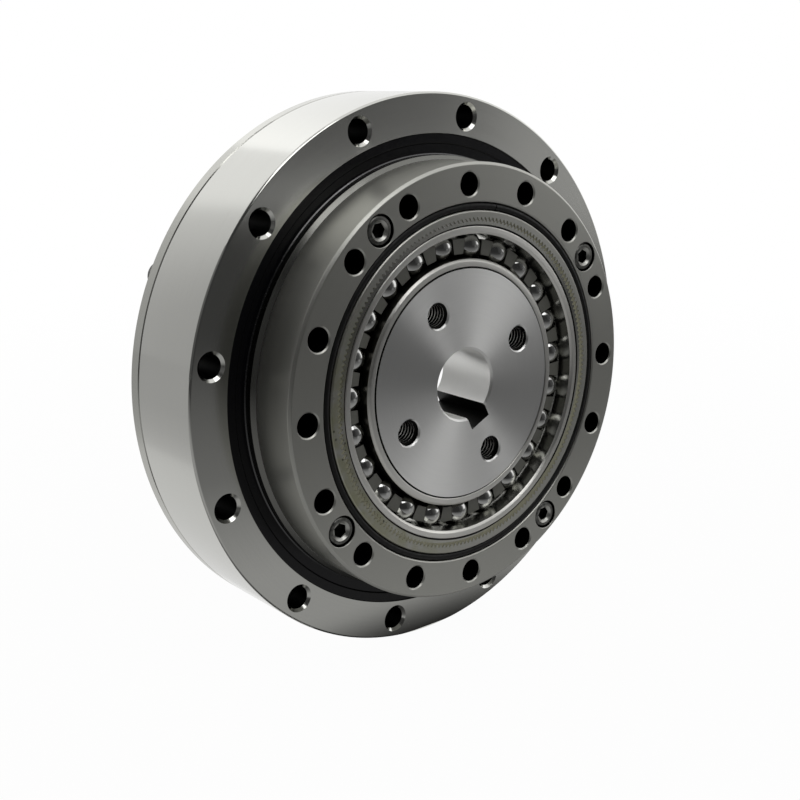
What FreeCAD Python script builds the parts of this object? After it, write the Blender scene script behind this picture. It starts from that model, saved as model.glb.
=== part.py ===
# Strain wave gearbox with a hat-shaped flexspline and a crossed-roller output bearing.
# The axis runs along Y, the output face looks towards -Y, and Z is up.
# The origin is the centre of the housing's front face, where the unit is bolted on.
# While a piece is drawn, its own Z axis runs from the output face backwards, so every
# axial size is a depth behind that face. Angles run clockwise from three o'clock,
# as seen from the output side.
import FreeCAD, Part
import math
import os
import Sketcher
from FreeCAD import Placement, Rotation, Vector

doc = FreeCAD.newDocument("StrainWaveGearbox")

# Driving sizes, in millimetres and degrees
SIZES = {
    # Wave generator plug, from the bore outwards
    "bore_diameter": 14,
    "bore_chamfer": 0.4,
    "key_width": 5,
    "key_depth": 2.3,
    "hub_wall": 6.9,
    "plug_tap_diameter": 4.2,
    "plug_tap_chamfer": 0.3,
    "plug_tap_count": 4,
    "plug_wall": 4.6,
    "plug_setback": 1.5,
    "plug_shoulder": 0.7,
    "plug_flange": 2.6,
    "hub_rim": 3.2,
    "hub_length": 4.7,
    "wave_angle": 63.35,
    # Flexible ball bearing
    "inner_race_wall": 1.5,
    "outer_race_wall": 1.5,
    "race_groove": 0.35,
    "ball_diameter": 5.5,
    "ball_spacing": 1.75,
    "ball_angle": 10.4,
    "ball_clearance": 0.05,
    "cage_clearance": 0.58,
    "cage_pocket_clearance": 0.25,
    "cage_finger": 1.95,
    "cage_web": 0.95,
    # Flexspline
    "rim_wall": 0.85,
    "flexspline_teeth": 200,
    "addendum_factor": 0.75,
    "dedendum_factor": 1,
    "flank_angle": 28,
    "tooth_clearance": 0.06,
    "tooth_width": 10,
    "flexspline_setback": 0.2,
    "barrel_wall": 0.5,
    "barrel_foot": 1.3,
    "diaphragm_wall": 0.6,
    "diaphragm_relief": 0.2,
    "diaphragm_fillet": 1.2,
    "brim_inset": 1.35,
    "brim_thickness": 3,
    "joint_chamfer": 0.25,
    # Circular spline
    "spline_length": 10.2,
    "face_land": 1.3,
    "groove_width": 1.5,
    "groove_depth": 1.4,
    "o_ring_section": 1.4,
    "o_ring_squeeze": 0.05,
    "groove_wall": 1.15,
    "output_hole_diameter": 4.5,
    "output_hole_chamfer": 0.25,
    "output_holes_per_screw": 4,
    "output_hole_angle": 21.06,
    "screw_seat_wall": 0.4,
    "spline_wall": 1.75,
    "edge_chamfer": 0.25,
    # Inner ring of the output bearing
    "output_tap_diameter": 3.3,
    "output_tap_depth": 8,
    "ring_bore_wall": 2.85,
    "collar_step": 0.75,
    "collar_front": 1.8,
    "collar_margin": 1,
    "rear_gap": 1.8,
    # Crossed rollers
    "roller_step": 1.75,
    "roller_diameter": 4,
    "roller_clearance": 0.05,
    "roller_end_clearance": 0.1,
    "roller_gap": 0.15,
    "roller_setback": 5,
    "bearing_gap": 0.7,
    # Shaft seal
    "seal_setback": 0.3,
    "seal_wall": 0.8,
    "seal_room": 1.2,
    "lip_clearance": 0.05,
    "lip_height": 1.1,
    "lip_wall": 0.45,
    "lip_end": 0.6,
    "spring_section": 0.9,
    # Housing
    "rear_length": 8.5,
    "seat_wall": 1.45,
    "raceway_wall": 0.8,
    "housing_hole_diameter": 4.5,
    "housing_hole_chamfer": 0.7,
    "housing_holes_per_screw": 3,
    "housing_hole_angle": 10.24,
    "housing_wall": 1.75,
    # Screws of both rings
    "screw_diameter": 3,
    "screw_hole_clearance": 0.4,
    "screw_thread_clearance": 0.05,
    "screw_point_chamfer": 0.4,
    "screw_head_diameter": 5.5,
    "screw_count": 4,
    "output_head_height": 3,
    "output_head_recess": 0.25,
    "output_head_clearance": 0.5,
    "output_hex": 2.5,
    "output_hex_depth": 1.6,
    "output_screw_grip": 3.75,
    "rear_head_height": 3,
    "rear_hex": 2.5,
    "rear_hex_depth": 1.6,
    "rear_screw_grip": 5.5,
    "rear_tap_runout": 1,
    "head_chamfer": 0.3,
}

sheet = doc.addObject("Spreadsheet::Sheet", "Sizes")
for row, (alias, value) in enumerate(SIZES.items(), start=1):
    sheet.set(f"A{row}", str(value))
    sheet.setAlias(f"A{row}", alias)
doc.recompute()

# Radii, depths and angles that follow from the driving sizes
LAYOUT = {
    # Radii from the bore outwards to the flexspline's tooth roots
    "BoreRadius": "Sizes.bore_diameter / 2",
    "HubRadius": "BoreRadius + Sizes.key_depth + Sizes.hub_rim",
    "PlugTapCircle": "BoreRadius + Sizes.hub_wall + Sizes.plug_tap_diameter / 2",
    "PlugRadius": "PlugTapCircle + Sizes.plug_tap_diameter / 2 + Sizes.plug_wall",
    "InnerRaceRadius": "PlugRadius + Sizes.inner_race_wall",
    "BallSpace": "Sizes.ball_diameter - 2 * Sizes.race_groove",
    "BallCircle": "InnerRaceRadius + BallSpace / 2",
    "BallCount": "floor(2 * pi * BallCircle / (Sizes.ball_diameter + Sizes.ball_spacing))",
    "OuterRaceBore": "InnerRaceRadius + BallSpace",
    "RimBore": "OuterRaceBore + Sizes.outer_race_wall",
    "FlexRootRadius": "RimBore + Sizes.rim_wall",
    "BarrelRadius": "RimBore + Sizes.barrel_wall",
    # Teeth: two more on the circular spline, so the wave is one module high
    "Module": "2 * FlexRootRadius / (Sizes.flexspline_teeth - 2 * Sizes.dedendum_factor)",
    "Wave": "Module",
    "CageHalf": "BallSpace / 2 - Wave - Sizes.cage_clearance",
    "FlexPitchRadius": "Module * Sizes.flexspline_teeth / 2",
    "SplineTeeth": "Sizes.flexspline_teeth + 2",
    "SplinePitchRadius": "Module * SplineTeeth / 2",
    "Addendum": "Module * Sizes.addendum_factor",
    "Dedendum": "Module * Sizes.dedendum_factor",
    "FlankSlope": "tan(Sizes.flank_angle)",
    "ToothHalf": "pi * Module / 4 - Sizes.tooth_clearance / 2",
    "GapHalf": "pi * Module / 4 + Sizes.tooth_clearance / 2",
    "SplineTipRadius": "SplinePitchRadius - Addendum",
    "SplineRootRadius": "SplinePitchRadius + Dedendum",
    # Radii of the output side
    "GrooveBore": "SplineRootRadius + Sizes.face_land",
    "GrooveRadius": "GrooveBore + Sizes.groove_width",
    "OutputCircle": "GrooveRadius + max(Sizes.groove_wall + Sizes.output_hole_diameter / 2; "
                    "Sizes.screw_seat_wall + Counterbore)",
    "SplineRadius": "OutputCircle + Sizes.output_hole_diameter / 2 + Sizes.spline_wall",
    "RingBore": "OutputCircle - Sizes.output_tap_diameter / 2 - Sizes.ring_bore_wall",
    "CollarRadius": "SplineRadius + Sizes.collar_step",
    "RollerCircle": "CollarRadius + Sizes.roller_step",
    "RollerCount": "2 * floor(pi * RollerCircle / (Sizes.roller_diameter + Sizes.roller_gap))",
    "InnerRingRadius": "RollerCircle - Sizes.bearing_gap / 2",
    # Radii of the housing
    "HousingBore": "RollerCircle + Sizes.bearing_gap / 2",
    "LipEdge": "CollarRadius + Sizes.lip_clearance",
    "LipBack": "LipEdge + Sizes.lip_height",
    "LipRoot": "LipBack + Sizes.spring_section",
    "SealSeat": "LipRoot + Sizes.seal_room + Sizes.seal_wall",
    "GrooveReach": "sqrt(2) * (Sizes.roller_diameter / 2 + Sizes.roller_clearance)",
    "RacewayRadius": "RollerCircle + GrooveReach",
    "RacewayBore": "RollerCircle - GrooveReach",
    "HousingCircle": "max(SealSeat + Sizes.seat_wall; RacewayRadius + Sizes.raceway_wall) "
                     "+ Sizes.housing_hole_diameter / 2",
    "HousingRadius": "HousingCircle + Sizes.housing_hole_diameter / 2 + Sizes.housing_wall",
    "BrimBore": "HousingBore - Sizes.brim_inset",
    # Depths behind the output face
    "HousingFace": "Sizes.spline_length + Sizes.collar_front",
    "SealFront": "HousingFace + Sizes.seal_setback",
    "SealWeb": "SealFront + Sizes.seal_wall",
    "SpringDepth": "SealWeb + Sizes.lip_wall + Sizes.spring_section",
    "SealBack": "SpringDepth + Sizes.spring_section / 2 + Sizes.lip_end",
    "CollarEnd": "SealBack + Sizes.collar_margin",
    "RollerDepth": "CollarEnd + Sizes.roller_setback",
    "BrimFace": "RollerDepth + Sizes.rear_length",
    "RearFace": "BrimFace + Sizes.brim_thickness",
    "RingEnd": "BrimFace - Sizes.rear_gap",
    "DiaphragmFace": "BrimFace + Sizes.diaphragm_relief",
    "DiaphragmBack": "DiaphragmFace + Sizes.diaphragm_wall",
    "BarrelEnd": "BrimFace - Sizes.diaphragm_fillet - Sizes.barrel_foot",
    "ToothEnd": "Sizes.flexspline_setback + Sizes.tooth_width",
    "BallDepth": "Sizes.flexspline_setback + Sizes.tooth_width / 2",
    "InnerRaceWidth": "2 * (BallDepth - Sizes.plug_setback)",
    "HubEnd": "Sizes.plug_setback + InnerRaceWidth + Sizes.plug_flange + Sizes.hub_length",
    "OutputSeat": "Sizes.output_head_recess + Sizes.output_head_height",
    "OutputPoint": "RollerDepth + Sizes.output_screw_grip",
    "RearPoint": "BrimFace - Sizes.rear_screw_grip",
    # Holes of each ring, and the angles of the screws, each half a pitch past a hole
    "OutputHoles": "Sizes.screw_count * Sizes.output_holes_per_screw",
    "HousingHoles": "Sizes.screw_count * Sizes.housing_holes_per_screw",
    "OutputScrewAngle": "Sizes.output_hole_angle + 540 / OutputHoles",
    "RearScrewAngle": "Sizes.housing_hole_angle + 180 / HousingHoles",
    # Screw holes
    "ScrewRadius": "Sizes.screw_diameter / 2",
    "ScrewHole": "Sizes.screw_diameter / 2 + Sizes.screw_hole_clearance / 2",
    "ScrewTap": "Sizes.screw_diameter / 2 + Sizes.screw_thread_clearance",
    "HeadRadius": "Sizes.screw_head_diameter / 2",
    "Counterbore": "HeadRadius + Sizes.output_head_clearance / 2",
}

layout = doc.addObject("App::VarSet", "Layout")
for name, formula in LAYOUT.items():
    layout.addProperty("App::PropertyFloat", name)
    layout.setExpression(name, formula)
doc.recompute()

TO_GEARBOX = Placement(Vector(0, -layout.HousingFace, 0), Rotation(Vector(1, 0, 0), -90))
AXIS = Vector(0, 0, 1)
SAME = 1e-4
nodes = []


def value_of(formula):
    """Number that a formula over Sizes and Layout gives."""
    return float(sheet.evalExpression(formula))


def finish(piece, label):
    """Name a finished piece and lay its drawing axis along the gearbox's axis."""
    piece.Label = label
    piece.Placement = TO_GEARBOX
    nodes.append(piece)


def origin_plane(body, role):
    """One of a body's own origin planes."""
    return next(item for item in body.Origin.OriginFeatures if item.Role == role)


def new_sketch(body, name, role):
    """Empty sketch on an origin plane of its body."""
    sketch = body.newObject("Sketcher::SketchObject", name)
    sketch.AttachmentSupport = [(origin_plane(body, role), "")]
    sketch.MapMode = "FlatFace"
    return sketch


def bind(sketch, constraint, formula):
    """Add a dimension to a sketch and tie it to a formula."""
    index = sketch.addConstraint(constraint)
    sketch.setExpression(f"Constraints[{index}]", formula)


def revolved(name, corners):
    """Body turned from an outline of (radius, depth) formulas."""
    body = doc.addObject("PartDesign::Body", name)
    sketch = new_sketch(body, f"{name}_outline", "XZ_Plane")
    points = [Vector(value_of(radius), value_of(depth), 0) for radius, depth in corners]
    for start, end in zip(points, points[1:] + points[:1]):
        sketch.addGeometry(Part.LineSegment(start, end))
    for corner, (radius, depth) in enumerate(corners):
        before = (corner - 1) % len(corners)
        sketch.addConstraint(Sketcher.Constraint("Coincident", before, 2, corner, 1))
        across = Sketcher.Constraint("DistanceX", -1, 1, corner, 1, points[corner].x)
        along = Sketcher.Constraint("DistanceY", -1, 1, corner, 1, points[corner].y)
        bind(sketch, across, radius)
        bind(sketch, along, depth)
    turned = body.newObject("PartDesign::Revolution", f"{name}_turned")
    turned.Profile = sketch
    turned.ReferenceAxis = (sketch, ["V_Axis"])
    turned.Angle = 360
    return body


def turn_sketch(sketch, angle, depth):
    """Turn a face sketch about the axis and sink it to a depth."""
    sketch.AttachmentOffset = Placement(Vector(0, 0, value_of(depth)), Rotation(AXIS, value_of(angle)))
    sketch.setExpression("AttachmentOffset.Base.z", depth)
    sketch.setExpression("AttachmentOffset.Rotation.Angle", angle)


def cut_backwards(body, name, sketch, length):
    """Cut a face sketch backwards into its body, through to the end where no length is given."""
    pocket = body.newObject("PartDesign::Pocket", name)
    pocket.Profile = sketch
    pocket.Reversed = True
    if length:
        pocket.Type = "Length"
        pocket.setExpression("Length", length)
    else:
        pocket.Type = "ThroughAll"
    return pocket


def ring_of(body, name, pocket, sketch, count, axis="N_Axis"):
    """Repeat a cut round one of its sketch's axes."""
    ring = body.newObject("PartDesign::PolarPattern", f"{name}_ring")
    ring.Originals = [pocket]
    ring.Axis = (sketch, [axis])
    ring.Angle = 360
    ring.setExpression("Occurrences", count)
    body.Tip = ring


def round_holes(body, name, circle, radius, angle, count, depth="0", length=None):
    """Ring of round holes that start at a depth and run backwards."""
    sketch = new_sketch(body, f"{name}_sketch", "XY_Plane")
    turn_sketch(sketch, angle, depth)
    centre = Vector(value_of(circle), 0, 0)
    sketch.addGeometry(Part.Circle(centre, AXIS, value_of(radius)))
    sketch.addConstraint(Sketcher.Constraint("PointOnObject", 0, 3, -1))
    bind(sketch, Sketcher.Constraint("DistanceX", -1, 1, 0, 3, centre.x), circle)
    bind(sketch, Sketcher.Constraint("Radius", 0, value_of(radius)), radius)
    pocket = cut_backwards(body, name, sketch, length)
    ring_of(body, name, pocket, sketch, count)


def rims_at(feature, radius, depth):
    """Names of a feature's round edges of one radius that lie at one depth."""
    names = []
    for number, edge in enumerate(feature.Shape.Edges, start=1):
        if not isinstance(edge.Curve, Part.Circle):
            continue
        right_size = abs(edge.Curve.Radius - value_of(radius)) < SAME
        if right_size and abs(edge.Curve.Center.z - value_of(depth)) < SAME:
            names.append(f"Edge{number}")
    return names


def dress_rims(body, kind, name, radius, depth, size):
    """Chamfer or fillet every round edge of one radius that lies at one depth."""
    doc.recompute()
    feature = body.Tip
    dressing = body.newObject(f"PartDesign::{kind}", name)
    dressing.Base = (feature, rims_at(feature, radius, depth))
    dressing.setExpression("Size" if kind == "Chamfer" else "Radius", size)
    body.Tip = dressing


def draw_wedge(sketch, inner, outer, inner_width, outer_width):
    """Four-sided outline across a sketch's x axis, between two distances, with a width at each."""
    near = value_of(inner)
    far = value_of(outer)
    near_half = value_of(inner_width) / 2
    far_half = value_of(outer_width) / 2
    corners = [Vector(near, -near_half, 0), Vector(far, -far_half, 0),
               Vector(far, far_half, 0), Vector(near, near_half, 0)]
    for start, end in zip(corners, corners[1:] + corners[:1]):
        sketch.addGeometry(Part.LineSegment(start, end))
    for side in range(4):
        sketch.addConstraint(Sketcher.Constraint("Coincident", side, 2, (side + 1) % 4, 1))
    sketch.addConstraint(Sketcher.Constraint("Symmetric", 0, 1, 2, 2, -1))
    sketch.addConstraint(Sketcher.Constraint("Symmetric", 0, 2, 1, 2, -1))
    bind(sketch, Sketcher.Constraint("DistanceX", -1, 1, 0, 1, near), inner)
    bind(sketch, Sketcher.Constraint("DistanceX", -1, 1, 0, 2, far), outer)
    bind(sketch, Sketcher.Constraint("DistanceY", 0, 1, 2, 2, 2 * near_half), inner_width)
    bind(sketch, Sketcher.Constraint("DistanceY", 0, 2, 1, 2, 2 * far_half), outer_width)


def oval(name, radius, depth):
    """Ellipse on the wave's long axis, one wave height longer and shorter than a circle."""
    ring = doc.addObject("Part::Ellipse", name)
    ring.Placement = Placement(Vector(0, 0, value_of(depth)), Rotation(AXIS, value_of("Sizes.wave_angle")))
    ring.setExpression("MajorRadius", f"{radius} + Layout.Wave")
    ring.setExpression("MinorRadius", f"{radius} - Layout.Wave")
    ring.setExpression("Placement.Base.z", depth)
    ring.setExpression("Placement.Rotation.Angle", "Sizes.wave_angle")
    return ring


def oval_prism(name, radius, depth, length):
    """Straight prism on such an ellipse."""
    prism = doc.addObject("Part::Extrusion", name)
    prism.Base = oval(f"{name}_oval", radius, depth)
    prism.DirMode = "Custom"
    prism.Dir = AXIS
    prism.Solid = True
    prism.setExpression("LengthFwd", length)
    return prism


def cut(name, base, tool):
    """Boolean difference of two objects."""
    result = doc.addObject("Part::Cut", name)
    result.Base = base
    result.Tool = tool
    return result


def fuse(name, shapes):
    """Boolean union of several objects."""
    result = doc.addObject("Part::MultiFuse", name)
    result.Shapes = shapes
    return result


def compound(name, links):
    """Several separate solids in one object."""
    group = doc.addObject("Part::Compound", name)
    group.Links = links
    return group


def at_angle(radius, angle, depth):
    """Point at a radius, an angle in degrees and a depth."""
    turn = math.radians(angle)
    return Vector(radius * math.cos(turn), radius * math.sin(turn), depth)


def outer_ring():
    """Ground steel ring with the seal seat, the raceway groove and the flange holes."""
    body = revolved("outer_ring", [
        ("Layout.SealSeat", "Layout.HousingFace"),
        ("Layout.HousingRadius - Sizes.edge_chamfer", "Layout.HousingFace"),
        ("Layout.HousingRadius", "Layout.HousingFace + Sizes.edge_chamfer"),
        ("Layout.HousingRadius", "Layout.BrimFace - Sizes.joint_chamfer"),
        ("Layout.HousingRadius - Sizes.joint_chamfer", "Layout.BrimFace"),
        ("Layout.HousingBore", "Layout.BrimFace"),
        ("Layout.HousingBore", "Layout.RollerDepth + Layout.RacewayRadius - Layout.HousingBore"),
        ("Layout.RacewayRadius", "Layout.RollerDepth"),
        ("Layout.HousingBore", "Layout.RollerDepth - Layout.RacewayRadius + Layout.HousingBore"),
        ("Layout.HousingBore", "Layout.SealBack"),
        ("Layout.SealSeat", "Layout.SealBack"),
    ])
    round_holes(body, "flange_holes", "Layout.HousingCircle", "Sizes.housing_hole_diameter / 2",
                "Sizes.housing_hole_angle", "Layout.HousingHoles")
    round_holes(body, "rear_taps", "Layout.HousingCircle", "Layout.ScrewTap", "Layout.RearScrewAngle",
                "Sizes.screw_count", depth="Layout.RearPoint - Sizes.rear_tap_runout")
    dress_rims(body, "Chamfer", "flange_hole_chamfers", "Sizes.housing_hole_diameter / 2",
               "Layout.HousingFace", "Sizes.housing_hole_chamfer")
    finish(body, "outer_ring")


def circular_spline():
    """Front ring with internal teeth, face groove, output holes and sunk screw seats."""
    groove_floor = "Sizes.groove_depth"
    body = revolved("circular_spline", [
        ("Layout.SplineTipRadius", "0"),
        ("Layout.GrooveBore", "0"),
        ("Layout.GrooveBore", groove_floor),
        ("Layout.GrooveRadius", groove_floor),
        ("Layout.GrooveRadius", "0"),
        ("Layout.SplineRadius - Sizes.edge_chamfer", "0"),
        ("Layout.SplineRadius", "Sizes.edge_chamfer"),
        ("Layout.SplineRadius", "Sizes.spline_length"),
        ("Layout.SplineTipRadius", "Sizes.spline_length"),
    ])
    round_holes(body, "output_holes", "Layout.OutputCircle", "Sizes.output_hole_diameter / 2",
                "Sizes.output_hole_angle", "Layout.OutputHoles")
    round_holes(body, "screw_seats", "Layout.OutputCircle", "Layout.Counterbore", "Layout.OutputScrewAngle",
                "Sizes.screw_count", length="Layout.OutputSeat")
    round_holes(body, "screw_holes", "Layout.OutputCircle", "Layout.ScrewHole", "Layout.OutputScrewAngle",
                "Sizes.screw_count")
    dress_rims(body, "Chamfer", "output_hole_chamfers", "Sizes.output_hole_diameter / 2", "0",
               "Sizes.output_hole_chamfer")
    tooth_gaps(body)
    finish(body, "circular_spline")


def tooth_gaps(body):
    """Ring of straight-sided gaps between the internal teeth, one of them on the wave's long axis."""
    sketch = new_sketch(body, "tooth_gap_sketch", "XY_Plane")
    turn_sketch(sketch, "Sizes.wave_angle", "0")
    draw_wedge(sketch, "Layout.SplineTipRadius - Layout.Addendum", "Layout.SplineRootRadius",
               "2 * (Layout.GapHalf + 2 * Layout.Addendum * Layout.FlankSlope)",
               "2 * (Layout.GapHalf - Layout.Dedendum * Layout.FlankSlope)")
    pocket = cut_backwards(body, "tooth_gap", sketch, None)
    ring_of(body, "tooth_gap", pocket, sketch, "Layout.SplineTeeth")


def inner_ring_front():
    """Front half of the bearing's inner ring, with the seal's running collar."""
    body = revolved("inner_ring_front", [
        ("Layout.RingBore", "Sizes.spline_length"),
        ("Layout.CollarRadius - Sizes.edge_chamfer", "Sizes.spline_length"),
        ("Layout.CollarRadius", "Sizes.spline_length + Sizes.edge_chamfer"),
        ("Layout.CollarRadius", "Layout.CollarEnd"),
        ("Layout.InnerRingRadius", "Layout.CollarEnd"),
        ("Layout.InnerRingRadius", "Layout.RollerDepth - Layout.InnerRingRadius + Layout.RacewayBore"),
        ("Layout.RacewayBore", "Layout.RollerDepth"),
        ("Layout.RingBore", "Layout.RollerDepth"),
    ])
    round_holes(body, "output_taps", "Layout.OutputCircle", "Sizes.output_tap_diameter / 2",
                "Sizes.output_hole_angle", "Layout.OutputHoles", depth="Sizes.spline_length",
                length="Sizes.output_tap_depth")
    round_holes(body, "front_screw_holes", "Layout.OutputCircle", "Layout.ScrewHole",
                "Layout.OutputScrewAngle", "Sizes.screw_count", depth="Sizes.spline_length")
    finish(body, "inner_ring_front")


def inner_ring_rear():
    """Rear half of the bearing's inner ring, tapped for the output screws."""
    body = revolved("inner_ring_rear", [
        ("Layout.RingBore", "Layout.RollerDepth"),
        ("Layout.RacewayBore", "Layout.RollerDepth"),
        ("Layout.InnerRingRadius", "Layout.RollerDepth + Layout.InnerRingRadius - Layout.RacewayBore"),
        ("Layout.InnerRingRadius", "Layout.RingEnd - Sizes.edge_chamfer"),
        ("Layout.InnerRingRadius - Sizes.edge_chamfer", "Layout.RingEnd"),
        ("Layout.RingBore", "Layout.RingEnd"),
    ])
    round_holes(body, "rear_screw_taps", "Layout.OutputCircle", "Layout.ScrewTap",
                "Layout.OutputScrewAngle", "Sizes.screw_count", depth="Layout.RollerDepth")
    finish(body, "inner_ring_rear")


def face_o_ring():
    """Rubber ring in the face groove, squeezed flat where it lies on the groove's floor."""
    ring = doc.addObject("Part::Torus", "o_ring_torus")
    ring.setExpression("Radius1", "Layout.GrooveBore + Sizes.groove_width / 2")
    ring.setExpression("Radius2", "Sizes.o_ring_section / 2")
    ring.setExpression("Placement.Base.z",
                       "Sizes.groove_depth - Sizes.o_ring_section / 2 + Sizes.o_ring_squeeze")
    floor = doc.addObject("Part::Cylinder", "groove_floor")
    floor.setExpression("Radius", "Layout.GrooveRadius")
    floor.setExpression("Height", "Sizes.o_ring_section")
    floor.setExpression("Placement.Base.z", "Sizes.groove_depth")
    finish(cut("o_ring_seated", ring, floor), "face_o_ring")


def crossed_rollers(label, first, lean):
    """Every second roller of the output bearing, its axis leaning at 45 degrees."""
    count = round(layout.RollerCount)
    length = value_of("Sizes.roller_diameter - 2 * Sizes.roller_end_clearance")
    rollers = []
    for place in range(first, count, 2):
        angle = 360 * place / count
        axis = at_angle(1, angle, lean).normalize()
        middle = at_angle(layout.RollerCircle, angle, layout.RollerDepth)
        roller = doc.addObject("Part::Cylinder", f"{label}_{place}")
        roller.setExpression("Radius", "Sizes.roller_diameter / 2")
        roller.setExpression("Height", "Sizes.roller_diameter - 2 * Sizes.roller_end_clearance")
        roller.Placement = Placement(middle - axis * (length / 2), Rotation(AXIS, axis))
        rollers.append(roller)
    finish(compound(f"{label}_row", rollers), label)


def seal():
    """Shaft seal: a stiff case pressed into its seat, a lip on the collar and a garter spring."""
    case = revolved("seal_case", [
        ("Layout.LipRoot", "Layout.SealFront"),
        ("Layout.SealSeat", "Layout.SealFront"),
        ("Layout.SealSeat", "Layout.SealBack"),
        ("Layout.SealSeat - Sizes.seal_wall", "Layout.SealBack"),
        ("Layout.SealSeat - Sizes.seal_wall", "Layout.SealWeb"),
        ("Layout.LipRoot", "Layout.SealWeb"),
    ])
    finish(case, "seal_case")
    lip_end = "Layout.SealBack - Sizes.lip_wall / 2"
    lip = revolved("seal_lip", [
        ("Layout.LipEdge", "Layout.SealFront"),
        ("Layout.LipRoot", "Layout.SealFront"),
        ("Layout.LipRoot", "Layout.SealWeb"),
        ("Layout.LipBack", "Layout.SealWeb + Sizes.lip_wall"),
        ("Layout.LipBack", lip_end),
        ("Layout.LipEdge + Sizes.lip_wall", lip_end),
        ("Layout.LipEdge", "Layout.SpringDepth"),
        ("Layout.LipEdge + Sizes.lip_wall", "Layout.SealWeb + Sizes.lip_wall / 2"),
        ("Layout.LipEdge + Sizes.lip_wall", "Layout.SealWeb"),
    ])
    finish(lip, "seal_lip")
    spring = doc.addObject("Part::Torus", "spring_torus")
    spring.setExpression("Radius1", "Layout.LipBack + Sizes.spring_section / 2")
    spring.setExpression("Radius2", "Sizes.spring_section / 2")
    spring.setExpression("Placement.Base.z", "Layout.SpringDepth")
    finish(compound("seal_spring_seated", [spring]), "seal_spring")


def screw(name, circle, angle, corners, hex_width, hex_start, hex_depth):
    """Turned screw with a hexagon socket, placed on its bolt circle."""
    body = revolved(name, corners)
    socket = body.newObject("PartDesign::SubtractivePrism", f"{name}_socket")
    socket.Polygon = 6
    socket.setExpression("Circumradius", f"{hex_width} / sqrt(3)")
    socket.setExpression("Height", hex_depth)
    socket.setExpression("Placement.Base.z", hex_start)
    body.Tip = socket
    finish(body, name)
    place = at_angle(value_of(circle), angle, 0)
    body.Placement = TO_GEARBOX.multiply(Placement(place, Rotation()))


def output_screws():
    """Socket screws from the front face through to the rear half of the inner ring."""
    corners = [
        ("0", "Sizes.output_head_recess"),
        ("Layout.HeadRadius - Sizes.head_chamfer", "Sizes.output_head_recess"),
        ("Layout.HeadRadius", "Sizes.output_head_recess + Sizes.head_chamfer"),
        ("Layout.HeadRadius", "Layout.OutputSeat"),
        ("Layout.ScrewRadius", "Layout.OutputSeat"),
        ("Layout.ScrewRadius", "Layout.OutputPoint - Sizes.screw_point_chamfer"),
        ("Layout.ScrewRadius - Sizes.screw_point_chamfer", "Layout.OutputPoint"),
        ("0", "Layout.OutputPoint"),
    ]
    count = round(value_of("Sizes.screw_count"))
    for number in range(count):
        angle = layout.OutputScrewAngle + 360 * number / count
        screw(f"output_screw_{number + 1}", "Layout.OutputCircle", angle, corners, "Sizes.output_hex",
              "Sizes.output_head_recess", "Sizes.output_hex_depth")


def rear_screws():
    """Socket screws from the rear face through the brim into the outer ring."""
    head_top = "Layout.RearFace + Sizes.rear_head_height"
    corners = [
        ("0", "Layout.RearPoint"),
        ("Layout.ScrewRadius - Sizes.screw_point_chamfer", "Layout.RearPoint"),
        ("Layout.ScrewRadius", "Layout.RearPoint + Sizes.screw_point_chamfer"),
        ("Layout.ScrewRadius", "Layout.RearFace"),
        ("Layout.HeadRadius", "Layout.RearFace"),
        ("Layout.HeadRadius", f"{head_top} - Sizes.head_chamfer"),
        ("Layout.HeadRadius - Sizes.head_chamfer", head_top),
        ("0", head_top),
    ]
    count = round(value_of("Sizes.screw_count"))
    for number in range(count):
        angle = layout.RearScrewAngle + 360 * number / count
        screw(f"rear_screw_{number + 1}", "Layout.HousingCircle", angle, corners, "Sizes.rear_hex",
              f"{head_top} - Sizes.rear_hex_depth", "Sizes.rear_hex_depth")


def wave_plug():
    """Oval plug with a keyed bore, four tapped holes, a rear shoulder for the race and a round hub."""
    race_end = "Sizes.plug_setback + Layout.InnerRaceWidth"
    hub = doc.addObject("Part::Cylinder", "plug_hub")
    hub.setExpression("Radius", "Layout.HubRadius")
    hub.setExpression("Height", f"Layout.HubEnd - ({race_end})")
    hub.setExpression("Placement.Base.z", race_end)
    blank = fuse("plug_blank", [
        oval_prism("plug_seat", "Layout.PlugRadius", "Sizes.plug_setback", "Layout.InnerRaceWidth"),
        oval_prism("plug_flange", "(Layout.PlugRadius + Sizes.plug_shoulder)", race_end, "Sizes.plug_flange"),
        hub,
    ])
    doc.recompute()
    body = doc.addObject("PartDesign::Body", "wave_plug")
    body.BaseFeature = blank
    doc.recompute()
    round_holes(body, "plug_taps", "Layout.PlugTapCircle", "Sizes.plug_tap_diameter / 2", "Sizes.wave_angle",
                "Sizes.plug_tap_count")
    keyed_bore(body)
    dress_rims(body, "Chamfer", "plug_tap_chamfers", "Sizes.plug_tap_diameter / 2", "Sizes.plug_setback",
               "Sizes.plug_tap_chamfer")
    dress_rims(body, "Chamfer", "bore_chamfers", "Layout.BoreRadius", "Sizes.plug_setback",
               "Sizes.bore_chamfer")
    dress_rims(body, "Chamfer", "hub_chamfer", "Layout.HubRadius", "Layout.HubEnd", "Sizes.bore_chamfer")
    finish(body, "wave_plug")


def keyed_bore(body):
    """Shaft bore with a keyway on the wave's long axis."""
    bore = new_sketch(body, "bore_sketch", "XY_Plane")
    bore.addGeometry(Part.Circle(Vector(), AXIS, layout.BoreRadius))
    bore.addConstraint(Sketcher.Constraint("Coincident", 0, 3, -1, 1))
    bind(bore, Sketcher.Constraint("Radius", 0, layout.BoreRadius), "Layout.BoreRadius")
    cut_backwards(body, "bore", bore, None)
    key = new_sketch(body, "key_sketch", "XY_Plane")
    turn_sketch(key, "Sizes.wave_angle", "0")
    draw_wedge(key, "Layout.BoreRadius / 2", "Layout.BoreRadius + Sizes.key_depth",
               "Sizes.key_width", "Sizes.key_width")
    body.Tip = cut_backwards(body, "keyway", key, None)


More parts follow.
